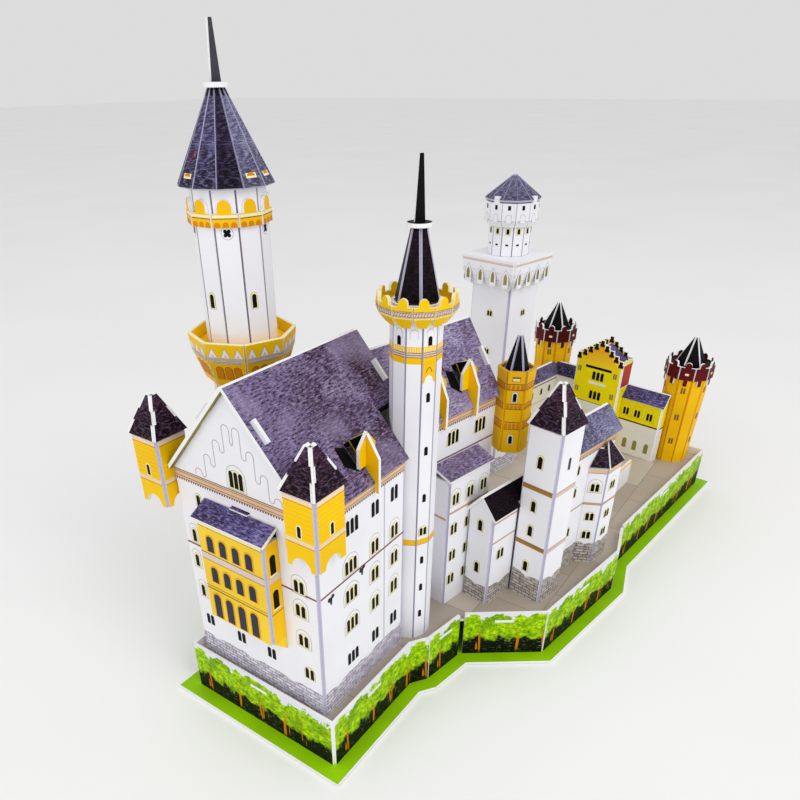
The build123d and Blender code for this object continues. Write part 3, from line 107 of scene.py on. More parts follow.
# Shine of coated print and of roofs and hedge, and the depth of every relief in metres
PRINT_SHEEN = 0.12
ROOF_SHEEN = 0.08
RELIEF = 0.0002

# Turn of one panel of a ten-sided piece, and the bearings of two front panels
DECAGON = 36
STAIR_FRONT = 243.7
GATE_FRONT = 188.5


# Materials

def rgb(*screen):
    """Colour as the shader takes it, from its red, green and blue on screen."""
    return tuple(c / 12.92 if c <= 0.04045 else ((c + 0.055) / 1.055) ** 2.4 for c in screen) + (1.0,)


def grey(level):
    return (level, level, level, 1.0)


def scaled(colour, factor):
    return tuple(min(1.0, c * factor) for c in colour[:3]) + (1.0,)


class Paint:
    """Short hand for building one material's nodes."""

    def __init__(self, name, roughness, sheen=0.35):
        self.material = bpy.data.materials.new(name)
        self.material.use_nodes = True
        self.tree = self.material.node_tree
        self.shader = self.tree.nodes["Principled BSDF"]
        self.shader.inputs["Roughness"].default_value = roughness
        self.shader.inputs["Specular IOR Level"].default_value = sheen

    def node(self, kind, links=(), **values):
        made = self.tree.nodes.new("ShaderNode" + kind)
        for key, value in values.items():
            if key in made.inputs:
                made.inputs[key].default_value = value
            else:
                setattr(made, key, value)
        for socket, source in dict(links).items():
            self.tree.links.new(source, made.inputs[socket])
        return made

    def feed(self, sockets, values):
        """Gives each socket its number or colour, or links it to another node's output."""
        for socket, value in zip(sockets, values):
            if isinstance(value, (float, tuple)):
                socket.default_value = value
            else:
                self.tree.links.new(value, socket)

    def surface(self):
        """Coordinates on the printed face, in pattern units."""
        return self.node("UVMap", uv_map="print").outputs["UV"]

    def space(self):
        return self.node("TexCoord").outputs["Object"]

    def part(self, source, axis):
        return self.node("SeparateXYZ", {"Vector": source}).outputs[axis]

    def stretched(self, source, across, along):
        """Coordinates scaled by different amounts across and along the face."""
        return self.node("Mapping", {"Vector": source}, Scale=(across, along, 1.0)).outputs["Vector"]

    def noise(self, source, scale, detail=3.0, roughness=0.55):
        made = self.node("TexNoise", {"Vector": source}, Scale=scale, Detail=detail, Roughness=roughness)
        return made.outputs["Fac"]

    def bricks(self, source, size, joint, blur, first, second, mortar):
        """Courses of bricks in two tones with joints."""
        return self.node("TexBrick", {"Vector": source}, Scale=1.0, **{
            "Brick Width": size[0], "Row Height": size[1], "Mortar Size": joint, "Mortar Smooth": blur,
            "Color1": first, "Color2": second, "Mortar": mortar})

    def ramp(self, source, *stops):
        """Colour ramp from (place, colour) stops."""
        made = self.node("ValToRGB", {"Fac": source})
        elements = made.color_ramp.elements
        for index, (place, colour) in enumerate(stops):
            element = elements[index] if index < 2 else elements.new(place)
            element.position = place
            element.color = colour
        return made.outputs["Color"]

    def mask(self, source, *stops):
        """Grey ramp from (place, level) stops."""
        return self.ramp(source, *((place, grey(level)) for place, level in stops))

    def mix(self, factor, low, high, blend="MIX"):
        made = self.node("Mix", data_type="RGBA", blend_type=blend)
        self.feed((made.inputs[0], made.inputs[6], made.inputs[7]), (factor, low, high))
        return made.outputs[2]

    def math(self, operation, first, second):
        made = self.node("Math", operation=operation)
        self.feed(made.inputs, (first, second))
        return made.outputs["Value"]

    def finish(self, colour, height, strength):
        """Links the colour and the relief of the print."""
        relief = self.node("Bump", {"Height": height}, Strength=strength, Distance=RELIEF)
        self.tree.links.new(colour, self.shader.inputs["Base Color"])
        self.tree.links.new(relief.outputs["Normal"], self.shader.inputs["Normal"])
        return self.material


def printed(name, screen, shade=0.06, roughness=0.5):
    """Flat colour of print with the faint mottle and fibre of coated paper."""
    paint = Paint(name, roughness, PRINT_SHEEN)
    space = paint.space()
    fine = paint.noise(space, FIBRE, 4.0)
    dark, light = (scaled(rgb(*screen), factor) for factor in (1 - 2.2 * shade, 1 + shade))
    patchy = paint.ramp(paint.noise(space, 28.0, 2.0), (0.3, dark), (0.7, light))
    return paint.finish(paint.mix(0.12, patchy, paint.ramp(fine, (0.35, dark), (0.65, light))), fine, 0.08)


def faded(name, below, above, low, high):
    """Print that runs from one colour to another between two heights in millimetres."""
    paint = Paint(name, 0.5)
    rise = paint.part(paint.surface(), "Y")
    level = paint.math("DIVIDE", paint.math("SUBTRACT", rise, low / PATTERN), (high - low) / PATTERN)
    fine = paint.noise(paint.space(), FIBRE, 4.0)
    run = paint.ramp(level, (0.0, rgb(*below)), (1.0, rgb(*above)))
    return paint.finish(paint.mix(paint.math("MULTIPLY", fine, 0.06), run, rgb(*below)), fine, 0.08)


def foam(name, *screen):
    """Cut edge of the foam, a little rough."""
    paint = Paint(name, 0.85)
    cells = paint.node("TexVoronoi", {"Vector": paint.space()}, Scale=1600.0).outputs["Distance"]
    return paint.finish(paint.ramp(cells, (0.1, scaled(rgb(*screen), 0.86)), (0.6, rgb(*screen))), cells, 0.35)


def tiled(name, dark, middle, light, warm=None, washed=None):
    """Small roof slates in rows, with streaks and darker patches, and a pale wash at the left if asked."""
    paint = Paint(name, 0.5, ROOF_SHEEN)
    surface = paint.surface()
    warm, dark, middle, light = (rgb(*screen) for screen in (warm or dark, dark, middle, light))
    slates = paint.bricks(surface, SLATE_SIZE, 0.012, 0.4, grey(0.35), grey(0.8), grey(0.0))
    patches = paint.noise(surface, 0.30, 4.0, 0.7)
    streaks = paint.noise(paint.stretched(surface, 1.0, 3.0), 3.2, 4.0, 0.7)
    half = tuple((a + b) / 2 for a, b in zip(middle, light))
    body = paint.ramp(patches, (0.41, warm), (0.50, middle), (0.60, half))
    if washed:
        across = paint.math("DIVIDE", paint.part(surface, "X"), 110.0 / PATTERN)
        drift = paint.math("MULTIPLY", paint.math("SUBTRACT", patches, 0.5), 0.5)
        tide = paint.mask(paint.math("ADD", across, drift), (0.0, 0.8), (0.28, 0.5), (0.45, 0), (0.80, 0), (1.0, 0.4))
        body = paint.mix(tide, body, rgb(*washed))
    blots = paint.noise(paint.stretched(surface, 1.0, 3.4), 2.6, 5.0, 0.75)
    body = paint.mix(paint.mask(blots, (0.42, 1), (0.54, 0)), body, dark)
    body = paint.mix(paint.mask(streaks, (0.50, 0), (0.68, 0.85)), body, light)
    pale = paint.noise(surface, 0.22, 2.0, 0.5)
    body = paint.mix(paint.mask(pale, (0.52, 0), (0.70, 0.6)), body, light)
    return paint.finish(paint.mix(0.42, body, slates.outputs["Color"], "MULTIPLY"), slates.outputs["Fac"], -0.12)


def masonry(name, light, dark, joint):
    """Courses of pale stone with pencilled joints."""
    paint = Paint(name, 0.55)
    surface = paint.surface()
    wobble = paint.node("TexNoise", {"Vector": surface}, Scale=2.2, Detail=2.0).outputs["Color"]
    moved = paint.mix(0.09, surface, wobble, "ADD")
    stones = paint.bricks(moved, STONE_SIZE, 0.035, 0.25, rgb(*light), rgb(*dark), rgb(*joint))
    smudge = paint.ramp(paint.noise(surface, 2.6, 4.0, 0.75), (0.38, (0.46, 0.44, 0.47, 1)), (0.49, grey(1)))
    return paint.finish(paint.mix(0.8, stones.outputs["Color"], smudge, "MULTIPLY"), stones.outputs["Fac"], -0.1)


def hedge(name, tall):
    """Printed row of trees: pale sky edge, lime crowns, dark undergrowth; tall is the height in millimetres."""
    paint = Paint(name, 0.5, ROOF_SHEEN)
    surface = paint.surface()
    leaves = paint.noise(surface, 3.4, 6.0, 0.72)
    crowns = paint.node("TexVoronoi", {"Vector": surface}, Scale=1.25, Randomness=1.0).outputs["Distance"]
    green = paint.ramp(leaves, (0.32, rgb(0.18, 0.40, 0.01)), (0.42, rgb(0.46, 0.68, 0.0)),
                       (0.52, rgb(0.66, 0.85, 0.01)), (0.64, rgb(0.88, 0.95, 0.12)))
    green = paint.mix(paint.mask(crowns, (0.35, 0), (0.85, 0.6)), green, rgb(0.26, 0.50, 0.0))
    floor = paint.ramp(paint.noise(paint.stretched(surface, 0.9, 4.5), 2.4, 4.0, 0.7),
                       (0.50, rgb(0.02, 0.05, 0.02)), (0.60, rgb(0.08, 0.14, 0.04)), (0.68, rgb(0.62, 0.60, 0.50)))
    stems = paint.noise(paint.stretched(surface, 1.5, 0.12), 1.0, 2.0, 0.55)
    trunk = paint.mask(stems, (0.575, 0), (0.59, 1), (0.66, 1), (0.68, 0))
    lumps = paint.math("SUBTRACT", paint.noise(surface, 1.1, 3.0, 0.6), 0.5)
    level = paint.math("ADD", paint.part(surface, "Y"), paint.math("MULTIPLY", lumps, 2.4))
    top = tall / PATTERN
    share = paint.math("DIVIDE", level, top)
    body = paint.mix(paint.mask(share, (0.33, 0), (0.43, 1)), floor, green)
    reach = paint.mask(share, (0.05, 0), (0.12, 1), (0.40, 1), (0.68, 0))
    body = paint.mix(paint.mix(1.0, trunk, reach, "MULTIPLY"), body, rgb(0.78, 0.47, 0.06))
    edge = paint.math("DIVIDE", paint.math("ADD", level, paint.math("MULTIPLY", leaves, 0.5)), top)
    return paint.finish(paint.mix(paint.mask(edge, (0.985, 0), (1.0, 1)), body, rgb(0.90, 0.91, 0.94)), leaves, 0.06)


def paved(name, light, middle, dark):
    """Courtyard of large soft-edged slabs."""
    paint = Paint(name, 0.5)
    space = paint.space()
    slabs = paint.bricks(paint.stretched(space, 14.0, 14.0), SLAB_SIZE, 0.01, 1.0,
                         rgb(*light), rgb(*middle), rgb(*dark))
    cloud = paint.ramp(paint.noise(space, 16.0, 3.0), (0.3, (0.86, 0.85, 0.84, 1)), (0.7, grey(1)))
    return paint.finish(paint.mix(1.0, slabs.outputs["Color"], cloud, "MULTIPLY"), paint.noise(space, 900.0, 3.0), 0.08)


WHITE = printed("white_print", (0.955, 0.955, 0.975), 0.02)
INSIDE = printed("inner_paper", (0.93, 0.92, 0.91), 0.03, 0.6)
FOAM = foam("foam_edge", 0.97, 0.97, 0.97)
# Painted shade: white foam in the grooves of folds and on the hips of cones, tinted grey-lilac and taupe for the shade
# in them
SHADED_LILAC_FOAM = foam("lilac_shaded_fold", 0.80, 0.79, 0.87)
SHADED_TAUPE_FOAM = foam("taupe_shaded_fold", 0.74, 0.71, 0.73)
GOLD_FOAM = foam("golden_fold", 0.86, 0.66, 0.30)
CREAM_FOAM = foam("cream_fold", 0.97, 0.93, 0.76)
ORANGE_FOAM = foam("orange_fold", 0.98, 0.77, 0.22)
GOLD = printed("golden_print", (0.98, 0.76, 0.05), 0.05)
YELLOW = printed("yellow_print", (1.0, 0.80, 0.0), 0.05)
LEMON = printed("lemon_print", (1.0, 0.92, 0.0), 0.05)
ORANGE = printed("orange_print", (1.0, 0.77, 0.0), 0.06)
DEEP_ORANGE = printed("deep_orange_print", (0.87, 0.54, 0.02), 0.08)
LOGGIA = printed("loggia_print", (0.98, 0.82, 0.20), 0.06)
BURGUNDY = printed("burgundy_print", (0.36, 0.04, 0.07), 0.2)
OCHRE = printed("ochre_print", (0.70, 0.50, 0.20), 0.1)
SOOT = printed("soot_print", (0.13, 0.04, 0.06), 0.2)
RED = printed("red_print", (0.72, 0.22, 0.13), 0.1)
CREAM = printed("cream_print", (0.97, 0.94, 0.74), 0.03)
PALE_CREAM = printed("pale_cream_print", (0.95, 0.94, 0.89), 0.03)
TAN = printed("tan_print", (0.79, 0.65, 0.50), 0.08)
PEACH = printed("peach_print", (0.90, 0.76, 0.62), 0.06)
BROWN = printed("brown_print", (0.50, 0.33, 0.27), 0.1)
OLIVE = printed("olive_line", (0.72, 0.66, 0.40), 0.1)
# Khaki print, also used as painted shade on the undersides of roofs
KHAKI = printed("khaki_print_and_shade", (0.60, 0.56, 0.30), 0.12)
LILAC = printed("lilac_line", (0.76, 0.73, 0.80), 0.05)
ROSE = printed("rose_print", (0.88, 0.80, 0.76), 0.05)
PALE_ORANGE = printed("pale_orange_print", (0.95, 0.86, 0.70), 0.05)
DEEP_RED = printed("deep_red_print", (0.48, 0.12, 0.12), 0.15)
SPIRE = printed("spire_print", (0.25, 0.24, 0.28), 0.2, 0.35)
GREY = printed("grey_line", (0.74, 0.72, 0.72), 0.08)
# Black of windows and other print, also used as painted shade in holes, gaps and undersides
BLACK = printed("window_print", (0.03, 0.028, 0.025), 0.3, 0.6)
SLIT = printed("slate_window_print", (0.17, 0.19, 0.25), 0.2, 0.35)
GREEN = printed("grass_print", (0.59, 0.82, 0.02), 0.07)
SLATE = tiled("slate_print", (0.17, 0.09, 0.15), (0.45, 0.36, 0.52), (0.76, 0.70, 0.86),
              warm=(0.34, 0.22, 0.29), washed=(0.60, 0.54, 0.74))
BLUE_SLATE = tiled("blue_slate_print", (0.20, 0.17, 0.30), (0.44, 0.40, 0.67), (0.72, 0.69, 0.92),
                   warm=(0.28, 0.23, 0.38))
LIGHT_SLATE = tiled("light_slate_print", (0.36, 0.29, 0.42), (0.62, 0.55, 0.73), (0.86, 0.82, 0.95),
                    warm=(0.51, 0.43, 0.57))
DARK_SLATE = tiled("dark_slate_print", (0.10, 0.02, 0.05), (0.27, 0.13, 0.20), (0.50, 0.42, 0.56))
CONE_SLATE = tiled("cone_slate_print", (0.12, 0.10, 0.18), (0.35, 0.32, 0.50), (0.66, 0.64, 0.82),
                   warm=(0.14, 0.11, 0.18))
NIGHT = tiled("night_slate_print", (0.02, 0.01, 0.02), (0.10, 0.04, 0.07), (0.24, 0.15, 0.22))
SOOTY_SLATE = tiled("sooty_slate_print", (0.01, 0.01, 0.01), (0.04, 0.04, 0.05), (0.12, 0.12, 0.14))
# Pale slate print, also used as painted light on two panels of the tall tower's cone
PALE_SLATE = tiled("pale_slate_print_and_painted_light", (0.31, 0.29, 0.40), (0.50, 0.49, 0.64), (0.76, 0.76, 0.90))
# Painted shade for one panel of the tall tower's cone
SHADED_CONE_SLATE = tiled("shaded_cone_slate", (0.05, 0.03, 0.07), (0.15, 0.11, 0.21), (0.40, 0.36, 0.52))
LILAC_STONE = masonry("lilac_stone_print", (0.90, 0.89, 0.92), (0.78, 0.77, 0.83), (0.58, 0.55, 0.60))
BUFF_STONE = masonry("buff_stone_print", (0.84, 0.82, 0.79), (0.66, 0.63, 0.60), (0.46, 0.43, 0.41))
PAVING = paved("paving_print", (0.79, 0.75, 0.69), (0.70, 0.65, 0.59), (0.62, 0.57, 0.52))
HEDGE = hedge("hedge_print", 36.0)
SHAFT_FOOT = faded("shaft_foot_print", (0.96, 0.84, 0.72), (0.955, 0.955, 0.975), 177.0, 197.0)
GABLE_GLOW = faded("gable_glow_print", (0.97, 0.87, 0.01), (0.96, 0.68, 0.02), 78.0, 96.0)


# Faces of the boards

def sides(polygon, key):
    """Sides of a polygon, each as the pair of its rounded ends."""
    ring = [key[i] for i in polygon.vertices]
    return [frozenset(pair) for pair in zip(ring, ring[1:] + ring[:1])]


def mean_width(group, key):
    """Mean width of a group of polygons in millimetres, twice its area over its outline's length."""
    seen = Counter(side for polygon in group for side in sides(polygon, key))
    outline = sum((Vector(min(side)) - Vector(max(side))).length / GRID for side, count in seen.items() if count == 1)
    return 2 * sum(p.area for p in group) / max(outline, 1e-9) / MM


class Face:
    """One flat face of a board, measured in millimetres to the right and up, as seen from outside."""

    def __init__(self, polygons, vertices, normal, foot=None, left=0.0):
        self.polygons, self.vertices = polygons, vertices
        self.out = normal.normalized()
        slope = UP - self.out * UP.dot(self.out)
        self.up = slope.normalized() if slope.length > 0.05 else NORTH
        self.right = self.up.cross(self.out).normalized()
        corners = [vertices[i] for p in polygons for i in p.vertices]
        across = [c.dot(self.right) for c in corners]
        along = [c.dot(self.up) for c in corners]
        depth = sum(c.dot(self.out) for c in corners) / len(corners)
        low = min(along) if foot is None else foot * MM * self.up.z
        self.origin = self.right * (min(across) - left * MM) + self.up * low + self.out * depth
        self.left = left
        self.end = (max(across) - min(across)) / MM + left
        self.width = self.end - self.left
        self.middle = (self.left + self.end) / 2
        self.low = (min(along) - low) / MM
        self.high = (max(along) - low) / MM
        self.centre = sum(corners, Vector()) / len(corners)
        self.upright = abs(self.out.z) < UPRIGHT

    def standing(self, left=0.0):
        """The same face with its heights measured from the deck."""
        return Face(self.polygons, self.vertices, self.out, DECK, left)

    def at(self, u, v, lift=0.0):
        return self.origin + (self.right * u + self.up * v + self.out * lift) * MM

    def flat(self, point):
        """Millimetres to the right and up of a point."""
        away = point - self.origin
        return away.dot(self.right) / MM, away.dot(self.up) / MM

    def spread(self, count, shift=0.5):
        """Even places across the face."""
        return [self.left + (k + shift) * self.width / count for k in range(count)]


@cache
def survey(node):
    """Flat faces of a node with their mean widths, each a group of touching polygons in one plane."""
    mesh = frame["nodes"][node].data
    places = [v.co.copy() for v in mesh.vertices]
    key = [tuple(round(c * GRID) for c in place) for place in places]
    touching = {}
    for polygon in mesh.polygons:
        for side in sides(polygon, key):
            touching.setdefault(side, []).append(polygon.index)
    taken, found = set(), []
    for seed in sorted(mesh.polygons, key=lambda p: -p.area):
        if seed.index in taken or seed.area < SPECK:
            continue
        normal, depth = seed.normal.copy(), seed.normal.dot(places[seed.vertices[0]])
        taken.add(seed.index)
        group, queue = [], [seed]
        while queue:
            polygon = queue.pop()
            group.append(polygon)
            for index in (i for side in sides(polygon, key) for i in touching[side]):
                other = mesh.polygons[index]
                if index in taken or other.normal.dot(normal) < 0.5:
                    continue
                if all(abs(places[i].dot(normal) - depth) < FLATNESS for i in other.vertices):
                    taken.add(index)
                    queue.append(other)
        found.append((Face(group, places, normal), mean_width(group, key)))
    return found


def outward(face, node, hearts=None):
    """Whether a face looks away from the middle of its node, or from the nearest of the given level places."""
    low, high = (Vector(corner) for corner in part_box(node))
    middle = (low + high) / 2
    if hearts:
        near = min(hearts, key=lambda heart: (face.centre - heart).xy.length)
        middle = Vector((near.x, near.y, middle.z))
    return (face.centre - middle).dot(face.out) > 0


def broad(node):
    """Faces of a node that aren't cut edges."""
    return [face for face, width in survey(node) if width > NARROW]


def faces(node, hearts=None):
    """Broad faces of a node that look outward."""
    return [face for face in broad(node) if outward(face, node, hearts)]


def panels(node, hearts=None):
    """Upright outer faces of a turret or crown that carry print."""
    return [face for face in faces(node, hearts) if face.upright and face.width > PANEL]


def wall(node, heading, left=FOLD):
    """Largest upright outer face that looks a given way, with its heights measured from the deck."""
    best = max(faces(node), key=lambda f: (f.out.dot(heading) > 0.85) * sum(p.area for p in f.polygons))
    return best.standing(left)


def walls(node, *headings, left=FOLD):
    return [wall(node, heading, left) for heading in headings]


def bearing(face):
    """Compass angle of a face in degrees."""
    return degrees(atan2(face.out.y, face.out.x))


def around(node, low=-1.0, high=0.99):
    """Outer panels of a round piece, in order round it, between two slants."""
    ring = [f for f in faces(node) if low < f.out.z < high and abs(f.out.z) < 0.99]
    return sorted((f.standing() if f.upright else f for f in ring), key=bearing)


def dress(nodes, outside, inside=INSIDE, edge=FOAM, fold=None, upward=False, both=False, hearts=None):
    """Paints boards: their printed faces, their backs, their cut edges and their folds."""
    for node in nodes.split():
        mesh = frame["nodes"][node].data
        mesh.materials.clear()
        for material in (outside, inside, edge, fold or edge):
            mesh.materials.append(material)
        layer = mesh.uv_layers.get("print") or mesh.uv_layers.new(name="print")
        for face, width in survey(node):
            if width < NARROW:
                use = 3 if abs(face.out.z) < LEANING and face.high - face.low > FOLD_HEIGHT else 2
            elif both:
                use = 0
            elif upward:
                use = 0 if face.out.z > UPRIGHT else 1
            else:
                use = 0 if outward(face, node, hearts) else 1
            for polygon in face.polygons:
                polygon.material_index = use
                for loop in polygon.loop_indices:
                    u, v = face.flat(face.vertices[mesh.loops[loop].vertex_index])
                    layer.data[loop].uv = (u / PATTERN, v / PATTERN)


def repaint(node, some, material):
    """Gives some faces of a node a print of their own."""
    mesh = frame["nodes"][node].data
    mesh.materials.append(material)
    for polygon in (polygon for face in some for polygon in face.polygons):
        polygon.material_index = len(mesh.materials) - 1


def shade_by_bearing(node, angles, material):
    """Gives the panels of a round piece at some bearings a material of their own, as painted light and shade."""
    def near(side):
        return any(abs((bearing(side) - angle + 180) % 360 - 180) < 10 for angle in angles)
    repaint(node, [side for side in around(node) if near(side) and side.width > 3], material)


# Print on the faces, as thin closed shapes a hair above the board

def mirrored(points, side):
    """Points as they are, or turned over left to right and kept anticlockwise."""
    return points if side > 0 else [(-u, v) for u, v in reversed(points)]


class Print:
    """All the print of one building, gathered into one piece."""

    def __init__(self, name, slot):
        self.name = name
        self.slot = slot
        self.mesh = bmesh.new()
        self.coordinates = self.mesh.loops.layers.uv.new("print")
        self.materials = []

    def shape(self, face, points, material, layer=1):
        """Closed shape with its corners at u, v points, anticlockwise."""
        if material not in self.materials:
            self.materials.append(material)
        index = self.materials.index(material)
        back = [self.mesh.verts.new(face.at(u, v, -SKIN)) for u, v in points]
        front = [self.mesh.verts.new(face.at(u, v, LAYER * layer)) for u, v in points]
        made = [self.mesh.faces.new(front), self.mesh.faces.new(back[::-1])]
        count = len(points)
        for i in range(count):
            j = (i + 1) % count
            made.append(self.mesh.faces.new((back[i], back[j], front[j], front[i])))
        for polygon in made:
            polygon.material_index = index
            for loop in polygon.loops:
                u, v = face.flat(loop.vert.co)
                loop[self.coordinates].uv = (u / PATTERN, v / PATTERN)

    def box(self, face, u0, v0, u1, v1, material, layer=1):
        self.shape(face, [(u0, v0), (u1, v0), (u1, v1), (u0, v1)], material, layer)

    def patch(self, face, half, v0, v1, material, layer=2):
        """Box about the middle of a face."""
        self.box(face, face.middle - half, v0, face.middle + half, v1, material, layer)

    def band(self, face, v0, v1, material, layer=1):
        """Band right across a face."""
        self.box(face, face.left, v0, face.end, v1, material, layer)

    def course(self, face, material, thick, *heights):
        """Level lines right across a face."""
        for v in heights:
            self.band(face, v - thick / 2, v + thick / 2, material, 2)

    def arch(self, face, u, v, width, height, material, layer=1, spring=0.5):
        """Round-headed shape on its foot's middle; spring is the head's rise over the width."""
        rise = spring * width
        turns = [pi * i / 8 for i in range(9)]
        head = [(u + width / 2 * cos(turn), v + height - rise + rise * sin(turn)) for turn in turns]
        self.shape(face, [(u - width / 2, v), (u + width / 2, v)] + head, material, layer)

    def arches(self, face, u, layer, *sizes):
        """Round-headed shapes over one another, each from its foot, width, height and material."""
        for lift, (foot, width, height, material) in enumerate(sizes):
            self.arch(face, u, foot, width, height, material, layer + lift)

    def lancet(self, face, u, v, width, height, material, layer=1):
        """Pointed shape on its foot's middle."""
        spring = v + height - width
        half, shoulder, bend = width / 2, width * 0.28, spring + width * 0.62
        self.shape(face, [(u - half, v), (u + half, v), (u + half, spring), (u + shoulder, bend), (u, v + height),
                          (u - shoulder, bend), (u - half, spring)], material, layer)

    def disc(self, face, u, v, radius, material, layer=1, count=16):
        turns = [2 * pi * i / count for i in range(count)]
        self.shape(face, [(u + radius * cos(turn), v + radius * sin(turn)) for turn in turns], material, layer)

    def line(self, face, points, width, material, layer=2):
        """Drawn line through points."""
        for (u0, v0), (u1, v1) in zip(points, points[1:]):
            along = Vector((u1 - u0, v1 - v0))
            side = Vector((-along.y, along.x)).normalized() * width / 2
            self.shape(face, [(u0 - side.x, v0 - side.y), (u1 - side.x, v1 - side.y),
                              (u1 + side.x, v1 + side.y), (u0 + side.x, v0 + side.y)], material, layer)

    def window(self, face, u, v, lights=1, width=2.8, height=8.6, pitch=4.4, frame=True, arch=False,
               pane=BLACK, trim=CREAM, ground=WHITE):
        """Round-headed lights about u, v, with a pale surround and a drawn arch over it if asked."""
        reach = (lights - 1) * pitch
        span = reach + width
        foot = v - height / 2
        if arch:
            self.arches(face, u, 1, (foot - 1.5, span + 4.6, height + 5.6, OLIVE),
                        (foot - 1.1, span + 4.0, height + 4.9, ground))
        if frame:
            self.arches(face, u, 3, (foot - 0.7, span + 1.9, height + 2.0, OLIVE),
                        (foot - 0.5, span + 1.5, height + 1.6, trim))
        for i in range(lights):
            self.arch(face, u - reach / 2 + i * pitch, foot - 0.1, width + 0.25, height + 0.25, pane, 5)

    def windows(self, face, places, *sizes, **style):
        for u, v in places:
            self.window(face, u, v, *sizes, **style)

    def eave(self, face, top):
        """Warm band of mouldings under an eave with a row of dentils."""
        self.band(face, top - 5.4, top, PEACH, 2)
        for low, high in ((0.0, 0.35), (1.2, 1.5), (3.7, 4.0), (5.1, 5.4)):
            self.band(face, top - high, top - low, BROWN, 3)
        for u in face.spread(int(face.width / 1.8)):
            self.box(face, u - 0.45, top - 6.5, u + 0.45, top - 5.4, BROWN, 2)

    def stones(self, face, top, material, ragged=1.6):
        """Stone courses at the foot of a wall with a ragged top edge."""
        steps = max(4, int(face.width / 5.5))
        points = [(face.left, 0.1), (face.end, 0.1)]
        for i in range(steps, -1, -1):
            lift = ragged * (0.5 * sin(2.3 * i) + 0.5 * sin(5.1 * i + 1.0))
            points.append((face.left + face.width * i / steps, top + lift))
        self.shape(face, points, material)

    def finish(self):
        mesh = bpy.data.meshes.new(self.name)
        self.mesh.to_mesh(mesh)
        self.mesh.free()
        for material in self.materials:
            mesh.materials.append(material)
        piece = bpy.data.objects.new(self.name, mesh)
        bpy.context.scene.collection.objects.link(piece)
        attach(piece, "root")


# Directions and places

def compass(angle):
    """Level direction at an angle in degrees, anticlockwise from east."""
    return Vector((cos(radians(angle)), sin(radians(angle)), 0))


def plan(x, y, turn=0.0, origin=(0.0, 0.0)):
    """Place in the frame of a plan position that is turned about an origin."""
    a = radians(turn)
    return Vector(((origin[0] + x * cos(a) + y * sin(a) - PLAN_X) * MM,
                   (origin[1] - x * sin(a) + y * cos(a) - PLAN_Y) * MM, 0))


# Level directions that the turned buildings face
EAST_SIDES = [compass(a - EAST_TURN) for a in (270, 180, 90, 0)]
EAST_SOUTH, EAST_WEST, EAST_NORTH, EAST_EAST = EAST_SIDES
GATE_SOUTH, GATE_WEST, GATE_NORTH, GATE_EAST = (compass(a - GATE_TURN) for a in (270, 180, 90, 0))

# Middles of the two gate towers and of the north wing's two arms
GATE_TOWERS = [plan(x, y, GATE_TURN, GATE_PLAN) for x, y in ((36.9, -29.9), (23.2, 101.6))]
WING_ARMS = [plan(x, y, GATE_TURN, GATE_PLAN) for x, y in ((-33, 91.5), (13, 72))]


# Base and fence
dress("base_plate", GREEN, upward=True)
dress("deck", PAVING, upward=True)
dress("deck_rib_long deck_ribs_cross", INSIDE, both=True)
dress("terrace_wall", WHITE, both=True)
dress("fence_south_west", HEDGE, WHITE, hearts=[plan(60, 20)])
dress("fence_south fence_south_east", HEDGE, WHITE, hearts=[plan(235, 20)])
dress("fence_north", HEDGE, WHITE, hearts=[plan(235, 20), plan(61, 90)])

# Walls, each with its fold strips
# The fold strips here are painted shade: foam tinted grey-lilac, and taupe on the tall tower's shaft
dress("west_hall_walls west_hall_cross_wall east_hall_walls lean_to_walls gabled_annex_walls front_tower_walls "
      "south_hall_walls bay_walls stair_tower_shaft white_tower_shaft white_tower_gallery white_tower_drum",
      WHITE, fold=SHADED_LILAC_FOAM)
dress("white_tower_ring", WHITE)
dress("loggia_walls", LOGGIA, GOLD, fold=SHADED_LILAC_FOAM)
dress("south_turret_walls north_turret_walls", YELLOW, fold=SHADED_LILAC_FOAM)
dress("tall_tower_shaft", WHITE, fold=SHADED_TAUPE_FOAM)
dress("tall_tower_crown", GOLD)
dress("tall_tower_balcony", ORANGE, YELLOW, CREAM_FOAM)
dress("tall_tower_balcony_floor", YELLOW, upward=True)
dress("stair_tower_crown", YELLOW, YELLOW, CREAM_FOAM)
dress("hanging_turret_walls", ORANGE, DEEP_ORANGE, GOLD_FOAM)
dress("dormer_fronts", YELLOW, both=True)
# Painted shade: the backs of the dormer fronts, in the dark of the roof's hole, are black
repaint("dormer_fronts", [face for face, width in survey("dormer_fronts") if face.out.y > 0.9], BLACK)
dress("dormer_fins", ORANGE, both=True)
dress("gatehouse_walls", LEMON, LEMON)
dress("south_wing_walls", LEMON, WHITE)
dress("south_wing_back_wall", LEMON, both=True)
dress("north_wing_walls", PALE_CREAM, fold=SHADED_LILAC_FOAM, hearts=WING_ARMS)
dress("south_gate_tower_shaft north_gate_tower_shaft", ORANGE, DEEP_ORANGE, ORANGE_FOAM)
dress("gate_tower_crowns", BURGUNDY, BURGUNDY, hearts=GATE_TOWERS)

# Roofs, with painted shade on their undersides, khaki on most and black under the loggia roof, and the edges of the
# dormers' holes dark as painted shade
dress("west_hall_roof", SLATE, KHAKI, upward=True)
# Painted shade: the loggia roof's underside is black
dress("loggia_roof", BLUE_SLATE, BLACK, upward=True)
dress("gatehouse_roof south_wing_roof", BLUE_SLATE, KHAKI, upward=True)
dress("north_wing_roof", CONE_SLATE, KHAKI, upward=True)
dress("east_hall_roof lean_to_roof", LIGHT_SLATE, KHAKI, upward=True)
dress("south_hall_roof", PALE_SLATE, KHAKI, upward=True)
